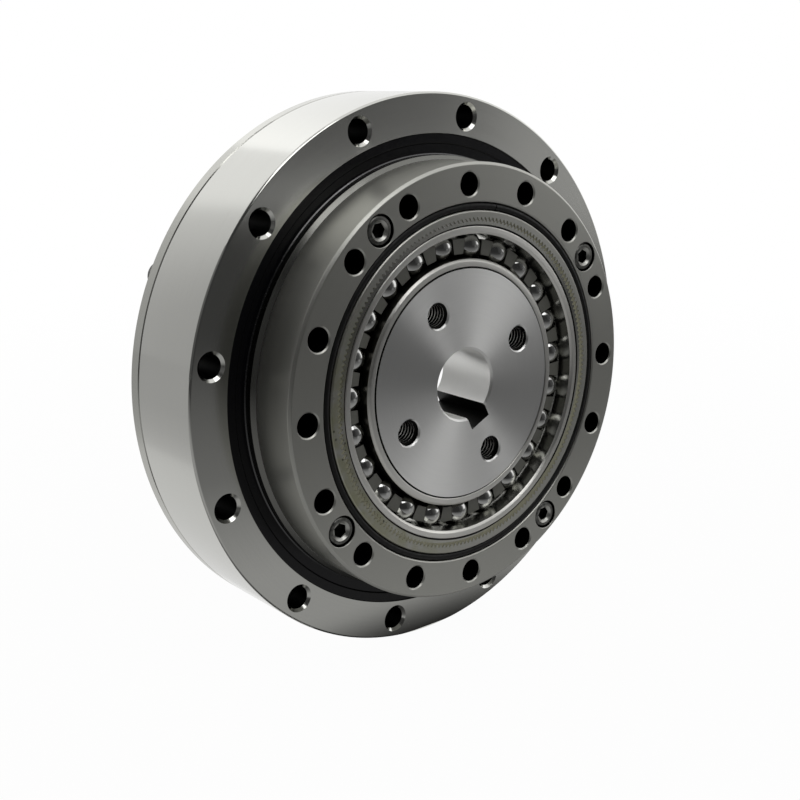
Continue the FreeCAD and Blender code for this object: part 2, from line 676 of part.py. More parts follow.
def ball_track():
    """Oval tube that the balls sweep, with their running clearance."""
    path = oval("ball_path", "Layout.BallCircle", "Layout.BallDepth")
    section = doc.addObject("Part::Circle", "ball_section")
    section.setExpression("Radius", "Sizes.ball_diameter / 2 + Sizes.ball_clearance")
    start = at_angle(layout.BallCircle + layout.Wave, value_of("Sizes.wave_angle"), layout.BallDepth)
    along = at_angle(1, value_of("Sizes.wave_angle") + 90, 0)
    section.Placement = Placement(start, Rotation(AXIS, along))
    track = doc.addObject("Part::Sweep", "ball_track")
    track.Sections = [section]
    track.Spine = (path, ["Edge1"])
    track.Solid = True
    track.Frenet = True
    return track


def flexible_bearing():
    """Thin races that follow the oval plug, with the balls and their crown cage."""
    track = ball_track()
    front = "Sizes.plug_setback"
    width = "Layout.InnerRaceWidth"
    inner_blank = cut("inner_race_blank",
                      oval_prism("inner_race_outside", "Layout.InnerRaceRadius", front, width),
                      oval_prism("inner_race_bore", "Layout.PlugRadius", front, width))
    finish(cut("inner_race", inner_blank, track), "flex_inner_race")
    front = "Sizes.flexspline_setback"
    width = "Sizes.tooth_width"
    outer_blank = cut("outer_race_blank",
                      oval_prism("outer_race_outside", "Layout.RimBore", front, width),
                      oval_prism("outer_race_bore", "Layout.OuterRaceBore", front, width))
    finish(cut("outer_race", outer_blank, track), "flex_outer_race")
    count = round(layout.BallCount)
    balls = []
    for place in range(count):
        angle = value_of("Sizes.ball_angle") + 360 * place / count
        lift = layout.Wave * math.cos(2 * math.radians(angle - value_of("Sizes.wave_angle")))
        ball = doc.addObject("Part::Sphere", f"ball_{place}")
        ball.setExpression("Radius", "Sizes.ball_diameter / 2")
        ball.Placement = Placement(at_angle(layout.BallCircle + lift, angle, layout.BallDepth), Rotation())
        balls.append(ball)
    finish(compound("balls", balls), "flex_balls")
    ball_cage()


def ball_cage():
    """Crown cage: a ring behind the balls with fingers that reach between them."""
    inner = "Layout.BallCircle - Layout.CageHalf"
    outer = "Layout.BallCircle + Layout.CageHalf"
    pocket_radius = "Sizes.ball_diameter / 2 + Sizes.cage_pocket_clearance"
    front = "Layout.BallDepth - Sizes.cage_finger"
    back = f"Layout.BallDepth + {pocket_radius} + Sizes.cage_web"
    body = revolved("flex_cage", [(inner, front), (outer, front), (outer, back), (inner, back)])
    sketch = new_sketch(body, "cage_pocket_sketch", "XZ_Plane")
    sketch.addGeometry(Part.Circle(Vector(0, layout.BallDepth, 0), AXIS, value_of(pocket_radius)))
    sketch.addConstraint(Sketcher.Constraint("PointOnObject", 0, 3, -2))
    bind(sketch, Sketcher.Constraint("DistanceY", -1, 1, 0, 3, layout.BallDepth), "Layout.BallDepth")
    bind(sketch, Sketcher.Constraint("Radius", 0, value_of(pocket_radius)), pocket_radius)
    pocket = cut_backwards(body, "cage_pocket", sketch, outer)
    ring_of(body, "cage_pocket", pocket, sketch, "Layout.BallCount", "V_Axis")
    finish(body, "flex_cage")
    turn = Rotation(AXIS, value_of("Sizes.ball_angle") + 90)
    body.Placement = TO_GEARBOX.multiply(Placement(Vector(), turn))


def flexspline():
    """Hat-shaped flexspline: toothed oval rim, barrel that rounds off backwards, diaphragm and brim."""
    brim = revolved("hat_brim", [
        ("Layout.RimBore", "Layout.BarrelEnd"),
        ("Layout.BarrelRadius", "Layout.BarrelEnd"),
        ("Layout.BarrelRadius", "Layout.DiaphragmFace"),
        ("Layout.BrimBore", "Layout.DiaphragmFace"),
        ("Layout.BrimBore", "Layout.BrimFace"),
        ("Layout.HousingRadius - Sizes.joint_chamfer", "Layout.BrimFace"),
        ("Layout.HousingRadius", "Layout.BrimFace + Sizes.joint_chamfer"),
        ("Layout.HousingRadius", "Layout.RearFace - Sizes.edge_chamfer"),
        ("Layout.HousingRadius - Sizes.edge_chamfer", "Layout.RearFace"),
        ("Layout.BrimBore", "Layout.RearFace"),
        ("Layout.BrimBore", "Layout.DiaphragmBack"),
        ("Layout.RimBore", "Layout.DiaphragmBack"),
    ])
    round_holes(brim, "brim_holes", "Layout.HousingCircle", "Sizes.housing_hole_diameter / 2",
                "Sizes.housing_hole_angle", "Layout.HousingHoles")
    round_holes(brim, "brim_screw_holes", "Layout.HousingCircle", "Layout.ScrewHole", "Layout.RearScrewAngle",
                "Sizes.screw_count")
    dress_rims(brim, "Fillet", "hat_outer_bend", "Layout.BarrelRadius", "Layout.DiaphragmFace",
               "Sizes.diaphragm_fillet")
    dress_rims(brim, "Fillet", "hat_inner_bend", "Layout.RimBore", "Layout.DiaphragmBack",
               "Sizes.diaphragm_fillet + Sizes.diaphragm_wall")
    barrel = cut("barrel", rounding_tube("barrel_outside", "Layout.BarrelRadius"),
                 rounding_tube("barrel_inside", "Layout.RimBore"))
    finish(fuse("flexspline", [toothed_rim(), barrel, brim]), "flexspline")


def rounding_tube(name, radius):
    """Solid that is oval at the teeth and round at the diaphragm."""
    circle = doc.addObject("Part::Circle", f"{name}_end")
    circle.Placement = Placement(Vector(0, 0, layout.BarrelEnd), Rotation(AXIS, value_of("Sizes.wave_angle")))
    circle.setExpression("Radius", radius)
    circle.setExpression("Placement.Base.z", "Layout.BarrelEnd")
    tube = doc.addObject("Part::Loft", name)
    tube.Sections = [oval(f"{name}_start", radius, "Layout.ToothEnd"), circle]
    tube.Solid = True
    tube.Ruled = True
    return tube


def toothed_rim():
    """Rim of the flexspline, each tooth carried by the wave as the oval plug holds it."""
    teeth = round(value_of("Sizes.flexspline_teeth"))
    root_half = layout.ToothHalf + layout.Dedendum * layout.FlankSlope
    tip_half = layout.ToothHalf - layout.Addendum * layout.FlankSlope
    corners = []
    for tooth in range(teeth):
        rest = 2 * math.pi * tooth / teeth
        swing = layout.Wave * math.sin(2 * rest) / layout.FlexPitchRadius
        lift = layout.Wave * math.cos(2 * rest)
        centre = at_angle(layout.FlexPitchRadius + lift, math.degrees(rest - swing / 2), 0)
        outwards = at_angle(1, math.degrees(rest + 1.5 * swing), 0)
        along = AXIS.cross(outwards)
        root = centre - outwards * layout.Dedendum
        tip = centre + outwards * layout.Addendum
        corners += [root - along * root_half, tip - along * tip_half,
                    tip + along * tip_half, root + along * root_half]
    outline = Part.makePolygon(corners + corners[:1])
    prism = doc.addObject("Part::Feature", "tooth_prism")
    prism.Shape = Part.Face(outline).extrude(AXIS * value_of("Sizes.tooth_width"))
    prism.Placement = Placement(Vector(0, 0, value_of("Sizes.flexspline_setback")),
                                Rotation(AXIS, value_of("Sizes.wave_angle")))
    bore = oval_prism("rim_bore", "Layout.RimBore", "Sizes.flexspline_setback", "Sizes.tooth_width")
    return cut("toothed_rim", prism, bore)


outer_ring()
flexspline()
seal()
rear_screws()
circular_spline()
inner_ring_front()
inner_ring_rear()
face_o_ring()
output_screws()
crossed_rollers("rollers_forward", 0, -1)
crossed_rollers("rollers_backward", 1, 1)
wave_plug()
flexible_bearing()
doc.recompute()

for item in doc.Objects:
    if "Invalid" in item.State or "Error" in item.State:
        raise RuntimeError(f"{item.Name} failed: {item.State}")
for piece in nodes:
    if piece.Shape.isNull() or not piece.Shape.isValid() or not piece.Shape.Solids:
        raise RuntimeError(f"{piece.Label} has no valid solid")

os.makedirs("parts", exist_ok=True)
for piece in nodes:
    piece.Shape.exportStep(f"parts/{piece.Label}.step")
    print(f"{piece.Label}: {len(piece.Shape.Solids)} solids, {piece.Shape.Volume:.1f} cubic millimetres")
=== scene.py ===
import functools
import math

import bpy
from bpy.props import FloatProperty, FloatVectorProperty, IntProperty, PointerProperty
from mathutils import Matrix, Vector


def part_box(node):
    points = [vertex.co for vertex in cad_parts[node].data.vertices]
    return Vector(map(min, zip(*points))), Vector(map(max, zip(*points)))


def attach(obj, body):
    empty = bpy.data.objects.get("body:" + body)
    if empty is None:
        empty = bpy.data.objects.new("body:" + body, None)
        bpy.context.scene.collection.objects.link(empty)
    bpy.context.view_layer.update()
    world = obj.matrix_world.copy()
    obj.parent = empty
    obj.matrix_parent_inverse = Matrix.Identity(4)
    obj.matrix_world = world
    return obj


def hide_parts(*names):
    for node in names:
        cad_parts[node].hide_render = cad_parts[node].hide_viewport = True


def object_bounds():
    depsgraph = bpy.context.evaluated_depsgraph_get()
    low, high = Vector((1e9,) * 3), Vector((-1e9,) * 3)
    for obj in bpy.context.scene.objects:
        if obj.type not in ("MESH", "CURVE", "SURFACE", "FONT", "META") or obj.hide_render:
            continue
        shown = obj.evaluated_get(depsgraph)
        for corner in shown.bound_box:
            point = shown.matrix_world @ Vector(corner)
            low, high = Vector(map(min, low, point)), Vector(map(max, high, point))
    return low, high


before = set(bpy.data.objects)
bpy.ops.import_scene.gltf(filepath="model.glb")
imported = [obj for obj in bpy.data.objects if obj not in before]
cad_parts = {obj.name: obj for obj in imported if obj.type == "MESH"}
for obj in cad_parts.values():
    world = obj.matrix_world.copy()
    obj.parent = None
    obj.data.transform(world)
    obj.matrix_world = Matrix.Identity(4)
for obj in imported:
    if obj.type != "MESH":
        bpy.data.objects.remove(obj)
CAD_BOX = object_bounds()

bl_info = {
    "name": "Strain wave gearbox",
    "version": (1, 0, 0),
    "blender": (4, 5, 0),
    "location": "3D View > Sidebar > Gearbox",
    "description": "Models the finished look of a strain wave gearbox round its CAD frame",
    "category": "Object",
}

MM = 0.001
AXIS = Vector((0, 1, 0))
MERGE = 1e-7
SMOOTH_ANGLE = math.radians(30)
RING_STEPS = 288
BORE_STEPS = 96
HOLE_STEPS = 48
THREAD_STEPS = 36
SECTION_STEPS = 24
TRACK_STEPS = 12
HEXAGON = 6
OVERSHOOT = 0.5 * MM
EDGE_SEGMENTS = 2
ANY_SIDES = 0
BEND_STEP = 15
# Shares of a normal: a face past the first lies flat to the axis, one under the second stands along it,
# and one past the third looks mostly one way.
FLAT = 0.9
UPRIGHT = 0.2
MOSTLY = 0.5
# Heights of the teeth, in modules
ADDENDUM = 0.75
DEDENDUM = 1.0
# Half widths of a thread's ridge, in pitches
THREAD_FOOT = 0.46
THREAD_CREST = 0.13
# Pitches from the first hole of a ring of holes to the first small screw between the holes
OUTPUT_SCREW_PITCHES = 1.5
REAR_SCREW_PITCHES = 0.5
QUARTER_TURN = 0.25
# Numbers of a colour mix's two colours and of its result
MIX_FIRST = 6
MIX_SECOND = 7
MIX_RESULT = 2
# Real grinding lines are about 0.03 mm apart. They are drawn ten times as coarse, so that they show.
LINE_SPACING = 0.3 * MM
LINE_BREAKS = 2
LINE_CONTRAST = 0.08
LINE_RELIEF = 0.04
LINE_DEPTH = 0.02 * MM
# Directions from the axis: where the film of grease is thickest, and where the grease has sunk deepest
GREASE_SIDE = (-0.91, 0, -0.42)
GREASE_SUNK = Vector((-0.71, 0, 0.71))
CARD_LIFT = 0.5 * MM
FLOOR_SPAN = 6
# The paper's glow beside the gearbox, and how far off it starts and ends to rise to plain white
PAPER_GLOW = 0.97
PAPER_NEAR = 0.12
PAPER_FAR = 0.45
FILL = 0.4


def linear_colour(text):
    """Linear RGBA of an sRGB hex value."""
    channels = [int(text[place:place + 2], 16) / 255 for place in (0, 2, 4)]
    light = [c / 12.92 if c <= 0.04045 else ((c + 0.055) / 1.055) ** 2.4 for c in channels]
    return (*light, 1.0)


def reach(node):
    """Largest distance of a CAD node from the vertical plane through the axis."""
    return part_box(node)[1].x


def front(node):
    """Place of a CAD node's front end along the axis."""
    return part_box(node)[0].y


def back(node):
    """Place of a CAD node's rear end along the axis."""
    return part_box(node)[1].y


def middle(node):
    """Place of a CAD node's middle along the axis."""
    return (front(node) + back(node)) / 2


def size(label, text, millimetres):
    """Length property that a user would change."""
    return FloatProperty(name=label, description=text, default=millimetres * MM, unit="LENGTH", precision=5)


def angle(label, text, degrees):
    """Angle property that a user would change."""
    return FloatProperty(name=label, description=text, default=math.radians(degrees), subtype="ANGLE")


def count(label, text, number):
    """Number of like features that a user would change."""
    return IntProperty(name=label, description=text, default=number, min=1)


def colour(label, text, code):
    """Colour property that a user would change."""
    return FloatVectorProperty(name=label, description=text, default=linear_colour(code), size=4,
                               subtype="COLOR", min=0, max=1)


class GearboxSizes(bpy.types.PropertyGroup):
    """Sizes of the visible pieces"""

    edge: size("Edge chamfer", "Chamfer on the housing's outer edges", 0.35)
    output_edge: size("Output edge", "Chamfer on the output ring's front edge", 0.5)
    joint: size("Joint chamfer", "Chamfer on both sides of the joint between ring and brim", 0.25)
    softness: size("Edge rounding", "Rounding left on turned and ground edges", 0.08)
    hole_radius: size("Hole radius", "Radius of the clearance holes of both rings", 2.25)
    housing_holes: count("Housing holes", "Clearance holes in the outer ring", 12)
    output_holes: count("Output holes", "Clearance holes in the output ring", 16)
    housing_circle: size("Housing hole circle", "Radius of the circle of housing holes", 51)
    housing_chamfer: size("Housing hole chamfer", "Chamfer at the mouth of the housing holes", 0.55)
    housing_angle: angle("Housing hole angle", "Angle of the first housing hole", 10.24)
    output_circle: size("Output hole circle", "Radius of the circle of output holes", 38.5)
    output_chamfer: size("Output hole chamfer", "Chamfer at the mouth of the output holes", 0.25)
    output_angle: angle("Output hole angle", "Angle of the first output hole", 21.06)
    screws: count("Screws", "Small screws in each of the two sets", 4)
    screw_hole: size("Screw hole radius", "Radius of the clearance holes of the small screws", 1.7)
    screw_seat: size("Screw seat radius", "Radius of the sunk seats in the output face", 3)
    seat_depth: size("Screw seat depth", "Depth of the sunk seats in the output face", 3.25)
    groove_bore: size("Groove bore", "Inner radius of the groove in the output face", 33.6)
    groove_radius: size("Groove radius", "Outer radius of the groove in the output face", 35.1)
    groove_edge: size("Groove edge", "Chamfer on both edges of the groove in the output face", 0.25)
    groove_depth: size("Groove depth", "Depth of the groove in the output face", 1.4)
    collar_radius: size("Collar radius", "Radius of the collar that the seal runs on", 43.25)
    collar_margin: size("Collar margin", "Collar that goes on behind the seal", 1)
    collar_edge: size("Collar edge", "Chamfer that leads the seal on to its collar", 0.75)
    ring_bore: size("Ring bore", "Bore of the bearing's inner ring", 34)
    housing_bore: size("Housing bore", "Bore of the outer ring behind the seal", 45.35)
    raceway_depth: size("Raceway depth", "Depth of the crossed roller grooves", 2.55)
    raceway_place: size("Raceway place", "Roller circle behind the housing face", 9.5)
    plug_radius: size("Plug radius", "Mean radius of the oval plug", 22.7)
    race_wall: size("Race wall", "Wall of both races of the flexible bearing", 1.5)
    race_edge: size("Race edge", "Chamfer on the seat edges of both races", 0.15)
    seat_edge: size("Seat edge", "Chamfer beside both races, where dirt gathers in a dark line", 0.3)
    track_edge: size("Track edge", "Chamfer on the edges of both races that face the balls", 0.45)
    ball_circle: size("Ball circle", "Mean radius of the circle of balls", 26.6)
    ball_radius: size("Ball radius", "Radius of the balls", 2.75)
    rim_bore: size("Rim bore", "Mean bore of the flexspline's rim", 30.5)
    barrel_wall: size("Barrel wall", "Wall of the flexspline's barrel", 0.5)
    bore_radius: size("Bore radius", "Radius of the shaft bore", 7)
    key_width: size("Key width", "Width of the keyway", 5)
    key_depth: size("Key depth", "Depth of the keyway past the bore", 2.3)
    taps: count("Threaded holes", "Threaded holes in the plug", 4)
    tap_circle: size("Threaded hole circle", "Radius of the circle of threaded holes in the plug", 16)
    thread_root: size("Thread root radius", "Radius of the threads' roots in the plug", 2.5)
    thread_crest: size("Thread crest radius", "Radius of the threads' crests in the plug", 2.1)
    thread_pitch: size("Thread pitch", "Pitch of the threads in the plug", 0.8)
    module: size("Module", "Module of the teeth", 0.31667)
    teeth: count("Flexspline teeth", "Teeth of the flexspline, two fewer than the ring's", 200)
    brim_bore: size("Brim bore", "Bore of the flexspline's thick brim", 44)
    diaphragm_setback: size("Diaphragm setback", "Diaphragm behind the brim's face", 0.2)
    diaphragm_wall: size("Diaphragm wall", "Wall of the diaphragm", 0.6)
    barrel_bend: size("Barrel bend", "Bend radius between barrel and diaphragm", 1.2)
    tap_radius: size("Output thread radius", "Radius of the threaded holes behind the output holes", 1.65)
    tap_depth: size("Output thread depth", "Depth of the threaded holes behind the output holes", 8)
    lip_root: size("Lip root", "Radius at which the seal lip leaves the case", 45.3)
    lip_back: size("Lip back", "Radius of the seal lip under its spring", 44.4)
    seal_gap: size("Seal gap", "Gap between lip and collar", 0.05)
    seal_wall: size("Seal wall", "Wall of the seal's case", 0.8)
    seal_step: size("Seal step", "Step between the seal's case and lip", 0.22)
    face_ring_section: size("Face ring section", "Section radius of the ring in the face groove", 0.7)
    face_ring_joint: size("Face ring joint", "Width of the slit where the face ring's ends meet", 0.2)
    face_ring_angle: angle("Face ring angle", "Angle of the slit in the face ring", -80)
    head_radius: size("Screw head radius", "Radius of the small screws' heads", 2.75)
    head_chamfer: size("Screw head chamfer", "Chamfer of the small screws' heads", 0.3)
    shank_radius: size("Screw shank radius", "Radius of the small screws' shanks", 1.5)
    socket_width: size("Socket width", "Hexagon of the small screws across flats", 2.5)
    socket_depth: size("Socket depth", "Depth of the small screws' hexagon", 1.6)
    socket_mouth: size("Socket mouth", "Chamfer round the hexagon's mouth", 0.45)
    plug_step: size("Plug flange", "Step of the plug's rear flange past its seat", 0.7)
    flange_width: size("Plug flange width", "Width of the plug's rear flange", 2.6)
    hub_radius: size("Hub radius", "Radius of the round hub behind the plug", 12.5)
    bore_chamfer: size("Bore chamfer", "Chamfer at both ends of the shaft bore", 0.4)
    thread_chamfer: size("Thread chamfer", "Chamfer at the mouth of the plug's threaded holes", 0.3)
    track_play: size("Ball track play", "Play of the balls in their track", 0.05)
    pocket_radius: size("Cage pocket radius", "Radius of the cage's ball pockets", 3)
    balls: count("Balls", "Balls in the flexible bearing", 23)
    ball_angle: angle("Ball angle", "Angle of the first ball", 10.4)
    tooth_play: size("Tooth play", "Play between a tooth and its gap at the pitch line", 0.06)
    flank: angle("Tooth flank", "Slope of the teeth's flanks", 28)
    wave_angle: angle("Wave angle", "Angle of the oval plug's long axis", 63.35)
    grease_depth: size("Grease depth", "Depth to which the grease sinks between the teeth", 0.2)
    # The same wall is the thickness of the dark sheet of painted shade behind the balls.
    grease_and_shade_wall: size("Grease wall", "Thickness of the grease that fills a gap", 0.6)
    # Margin round the dark sheet of painted shade behind the balls.
    shade_sheet_margin: size("Grease margin", "Clearance round the grease behind the balls", 0.5)


class GearboxColours(bpy.types.PropertyGroup):
    """Colours of the finishes"""

    ground_steel: colour("Ground steel", "Outer ring", "CCCCC7")
    spring_steel: colour("Spring steel", "Flexspline", "BCBCB6")
    spline_steel: colour("Turned steel", "Output ring", "B4B4AE")
    # Darkened as painted shade: the collar sits in the dark recess by the seal.
    collar_steel: colour("Bearing steel", "Inner ring of the output bearing", "767672")
    plug_steel: colour("Plug steel", "Oval plug", "F6F6F4")
    race_steel: colour("Race steel", "Races of the flexible bearing", "E2E1DC")
    ball_steel: colour("Ball steel", "Balls and rollers", "BCBCBA")
    # Near black: painted shade in holes, sockets, keyway and thread flanks, and the dark dirt line at seat
    # edges.
    hole_steel: colour("Drilled steel", "Walls of holes and keyway", "1A1A19")
    # Darkened as painted shade: the black gap between the balls and the inner race.
    track_steel: colour("Track steel", "Inner ball track under dark grease", "5C5B56")
    wiped_steel: colour("Wiped steel", "Outer ball track under a thin film of grease", "B4B4AE")
    thread_steel: colour("Tapped steel", "Threads in the plug", "E0E0DC")
    screw_steel: colour("Screw steel", "Blackened screws", "5A5A57")
    screw_rim: colour("Worn screw rim", "Screws where a key has rubbed them", "B4B4AF")
    grease: colour("Grease", "Grease between the teeth", "8F8D78")
    grease_film: colour("Grease film", "Film of grease on the steel beside the teeth", "A5A58E")
    # Near black: grit specks in the grease film, and the sheet of painted shade behind the balls.
    grit_and_shade_black: colour("Dark grease", "Grease behind the balls", "0C0C0A")
    seal_rubber: colour("Seal rubber", "Radial seal", "050508")
    ring_rubber: colour("Ring rubber", "Ring in the face groove", "060605")
    cage_plastic: colour("Cage plastic", "Crown cage of the flexible bearing", "62625C")
    floor: colour("Floor", "Pale floor", "F4F4F2")


def sizes():
    """The sizes in use."""
    return bpy.context.scene.gearbox_sizes


def colours():
    """The colours in use."""
    return bpy.context.scene.gearbox_colours


def turn(degrees):
    """Turn about the gearbox's axis, clockwise as seen from the output side."""
    return Matrix.Rotation(math.radians(degrees), 4, "Y")


def past_hole(first, holes, pitches):
    """Angle in degrees that lies some pitches past the first hole of a ring of holes."""
    return math.degrees(first) + pitches * 360 / holes


def output_screw_angle():
    """Angle in degrees of the first screw in the output face."""
    return past_hole(sizes().output_angle, sizes().output_holes, OUTPUT_SCREW_PITCHES)


def rear_screw_angle():
    """Angle in degrees of the first screw on the brim."""
    return past_hole(sizes().housing_angle, sizes().housing_holes, REAR_SCREW_PITCHES)


def polar(radius, heading, depth):
    """Point at a radius, a clockwise heading in radians and a depth."""
    return Vector((radius * math.cos(heading), depth, -radius * math.sin(heading)))


def activate(piece):
    """Make a piece the only selected one."""
    bpy.ops.object.select_all(action="DESELECT")
    piece.select_set(True)
    bpy.context.view_layer.objects.active = piece


def started(name, primitive, **settings):
    """New piece that starts from a primitive."""
    bpy.ops.object.select_all(action="DESELECT")
    primitive(**settings)
    piece = bpy.context.object
    piece.name = name
    return piece


def copied(name, mesh):
    """New piece with its own copy of a mesh."""
    piece = bpy.data.objects.new(name, mesh.copy())
    bpy.context.scene.collection.objects.link(piece)
    return piece


def close_mesh(piece, hole_sides=None):
    """Merge a piece's doubled points, fill its holes of up to so many sides, and turn its faces outwards."""
    activate(piece)
    bpy.ops.object.mode_set(mode="EDIT")
    bpy.ops.mesh.select_all(action="SELECT")
    bpy.ops.mesh.remove_doubles(threshold=MERGE)
    if hole_sides is not None:
        bpy.ops.mesh.fill_holes(sides=hole_sides)
    bpy.ops.mesh.select_all(action="SELECT")
    bpy.ops.mesh.normals_make_consistent(inside=False)
    bpy.ops.object.mode_set(mode="OBJECT")


def turned(name, outline, steps=RING_STEPS):
    """Ring turned about the axis from a closed outline of (radius, depth) corners."""
    piece = started(name, bpy.ops.mesh.primitive_circle_add, vertices=len(outline), radius=MM)
    for vertex, (radius, depth) in zip(piece.data.vertices, outline):
        vertex.co = (radius, depth, 0)
    bpy.ops.object.mode_set(mode="EDIT")
    bpy.ops.mesh.select_all(action="SELECT")
    bpy.ops.mesh.spin(steps=steps, angle=2 * math.pi, center=(0, 0, 0), axis=AXIS)
    bpy.ops.object.mode_set(mode="OBJECT")
    close_mesh(piece)
    return piece


def skinned(name, loops, closed):
    """Skin through loops of points, joined end to end or capped at both ends."""
    points_round = len(loops[0])
    rows = [loop + loop[:1] for loop in (loops + loops[:1] if closed else loops)]
    piece = started(name, bpy.ops.mesh.primitive_grid_add,
                    x_subdivisions=points_round, y_subdivisions=len(rows) - 1, size=MM)
    points = [point for row in rows for point in row]
    for vertex, point in zip(piece.data.vertices, points):
        vertex.co = point
    close_mesh(piece, None if closed else ANY_SIDES)
    return piece


def coat(piece, *finishes):
    """Give a piece its finishes, of which its faces take the first."""
    piece.data.materials.clear()
    for finish in finishes:
        piece.data.materials.append(finish)


def finish_front_edge(piece, limit):
    """Give a piece's sloping faces in front of a limit its second finish."""
    for face in piece.data.polygons:
        if face.center.y < limit and UPRIGHT < -face.normal.y < FLAT:
            face.material_index = 1


def block_tool(low, high, finish):
    """Tool in the shape of a block between two corners."""
    tool = started("block_tool", bpy.ops.mesh.primitive_cube_add, size=1)
    for vertex in tool.data.vertices:
        share = vertex.co + Vector((0.5, 0.5, 0.5))
        vertex.co = [start + part * (end - start) for start, end, part in zip(low, high, share)]
    coat(tool, finish)
    return tool


def hole_tool(radius, mouth, end, circle, steel, chamfer=0.0):
    """Tool for a hole on a hole circle: its chamfered mouth in the piece's own steel, its wall in painted
    shade.
    """
    outline = [
        (0, mouth - OVERSHOOT),
        (radius + (chamfer + OVERSHOOT if chamfer else 0), mouth - OVERSHOOT),
        (radius, mouth + chamfer),
        (radius, end),
        (0, end),
    ]
    tool = turned("hole_tool", outline, HOLE_STEPS)
    coat(tool, steel, dirt_and_shade_steel())
    for face in tool.data.polygons:
        face.material_index = int(face.center.y > mouth + chamfer)
    tool.data.transform(Matrix.Translation((circle, 0, 0)))
    return tool


def apply_modifier(piece, kind, **settings):
    """Add a modifier with its settings and apply it."""
    activate(piece)
    modifier = piece.modifiers.new(kind.lower(), kind)
    for name, value in settings.items():
        setattr(modifier, name, value)
    bpy.ops.object.modifier_apply(modifier=modifier.name)


def soften(piece, width):
    """Round the sharp edges of a piece."""
    apply_modifier(piece, "BEVEL", width=width, segments=EDGE_SEGMENTS, limit_method="ANGLE",
                   angle_limit=SMOOTH_ANGLE)


def combine(piece, tool, operation):
    """Join a tool's shape to a piece or cut it out, keeping each one's finish, and drop the tool."""
    apply_modifier(piece, "BOOLEAN", operation=operation, solver="EXACT", material_mode="TRANSFER",
                   object=tool)
    bpy.data.objects.remove(tool)


def cut_away(piece, tool):
    """Cut a tool's shape out of a piece, so that the cut faces take the tool's finish."""
    combine(piece, tool, "DIFFERENCE")


def ring_of(piece, copies, first=0.0):
    """Copies of a piece, each with its own mesh, evenly round the axis and joined into one."""
    piece.data.transform(turn(first))
    others = []
    for place in range(1, copies):
        copy = copied(f"{piece.name}_{place}", piece.data)
        copy.data.transform(turn(360 * place / copies))
        others.append(copy)
    activate(piece)
    for copy in others:
        copy.select_set(True)
    bpy.ops.object.join()
    return piece


def bend_to_wave(piece):
    """Push a round piece out along the wave's long axis and in along its short one."""
    height = sizes().module
    for vertex in piece.data.vertices:
        radius = math.hypot(vertex.co.x, vertex.co.z)
        if radius > MERGE:
            heading = math.atan2(-vertex.co.z, vertex.co.x)
            scale = 1 + height * math.cos(2 * (heading - sizes().wave_angle)) / radius
            vertex.co.x *= scale
            vertex.co.z *= scale


def place_piece(piece, body, slot=None, *nodes):
    """Shade a finished piece smooth with flat flats, let it ride on its body and stand for its nodes."""
    activate(piece)
    bpy.ops.object.shade_smooth_by_angle(angle=SMOOTH_ANGLE)
    apply_modifier(piece, "WEIGHTED_NORMAL", keep_sharp=True)
    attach(piece, body)
    if nodes:
        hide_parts(*nodes)


def merged_copy(node, name):
    """Copy of a CAD node with its loose triangles merged, so that it can be shaded smooth."""
    piece = copied(name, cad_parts[node].data)
    close_mesh(piece)
    return piece


def dress_node(node, material):
    """Give a CAD node that keeps its shape a finish."""
    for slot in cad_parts[node].material_slots:
        slot.material = material


# Finishes


def connect(tree, node, inputs):
    """Set or link a node's inputs."""
    for socket, value in inputs.items():
        if isinstance(value, bpy.types.NodeSocket):
            tree.links.new(value, node.inputs[socket])
        else:
            node.inputs[socket].default_value = value


def add(tree, kind, settings=None, inputs=None):
    """Add a node, set its settings, and set or link its inputs."""
    node = tree.nodes.new(kind)
    for name, value in (settings or {}).items():
        setattr(node, name, value)
    connect(tree, node, inputs or {})
    return node


def once(make):
    """Make a finish under its own name when it is first asked for, and hand out the same one after that."""
    @functools.wraps(make)
    def finish():
        if make.__name__ not in bpy.data.materials:
            make().name = make.__name__
        return bpy.data.materials[make.__name__]
    return finish


def new_finish(name="finish"):
    """Empty material with a surface shader."""
    material = bpy.data.materials.new(name)
    material.use_nodes = True
    tree = material.node_tree
    return material, tree, tree.nodes["Principled BSDF"]


def shaded(base, share):
    """Colour that is a share as light as another."""
    return (*(min(1.0, channel * share) for channel in base[:3]), 1.0)


def round_the_axis(tree):
    """A surface point's place, its distance from the axis and its direction from the axis."""
    place = add(tree, "ShaderNodeTexCoord").outputs["Object"]
    flat = add(tree, "ShaderNodeVectorMath", {"operation": "MULTIPLY"}, {0: place, 1: (1, 0, 1)}).outputs[0]
    radius = add(tree, "ShaderNodeVectorMath", {"operation": "LENGTH"}, {0: flat}).outputs["Value"]
    heading = add(tree, "ShaderNodeVectorMath", {"operation": "NORMALIZE"}, {0: flat}).outputs[0]
    return place, radius, heading


def machining_lines(tree):
    """Noise drawn out into lines round the axis, which break a few times in a turn."""
    place, radius, heading = round_the_axis(tree)
    depth = add(tree, "ShaderNodeSeparateXYZ", inputs={0: place}).outputs["Y"]
    across = add(tree, "ShaderNodeMath", {"operation": "DIVIDE"}, {0: radius, 1: LINE_SPACING}).outputs[0]
    along = add(tree, "ShaderNodeMath", {"operation": "DIVIDE"}, {0: depth, 1: LINE_SPACING}).outputs[0]
    breaks = add(tree, "ShaderNodeVectorMath", {"operation": "SCALE"}, {0: heading, "Scale": LINE_BREAKS})
    around = add(tree, "ShaderNodeSeparateXYZ", inputs={0: breaks.outputs[0]}).outputs
    spot = add(tree, "ShaderNodeCombineXYZ", inputs={0: across, 1: along, 2: around["X"]}).outputs[0]
    noise = add(tree, "ShaderNodeTexNoise", {"noise_dimensions": "4D"},
                {"Vector": spot, "W": around["Z"], "Scale": 1.0, "Detail": 3.0, "Roughness": 0.6})
    return noise.outputs["Fac"]


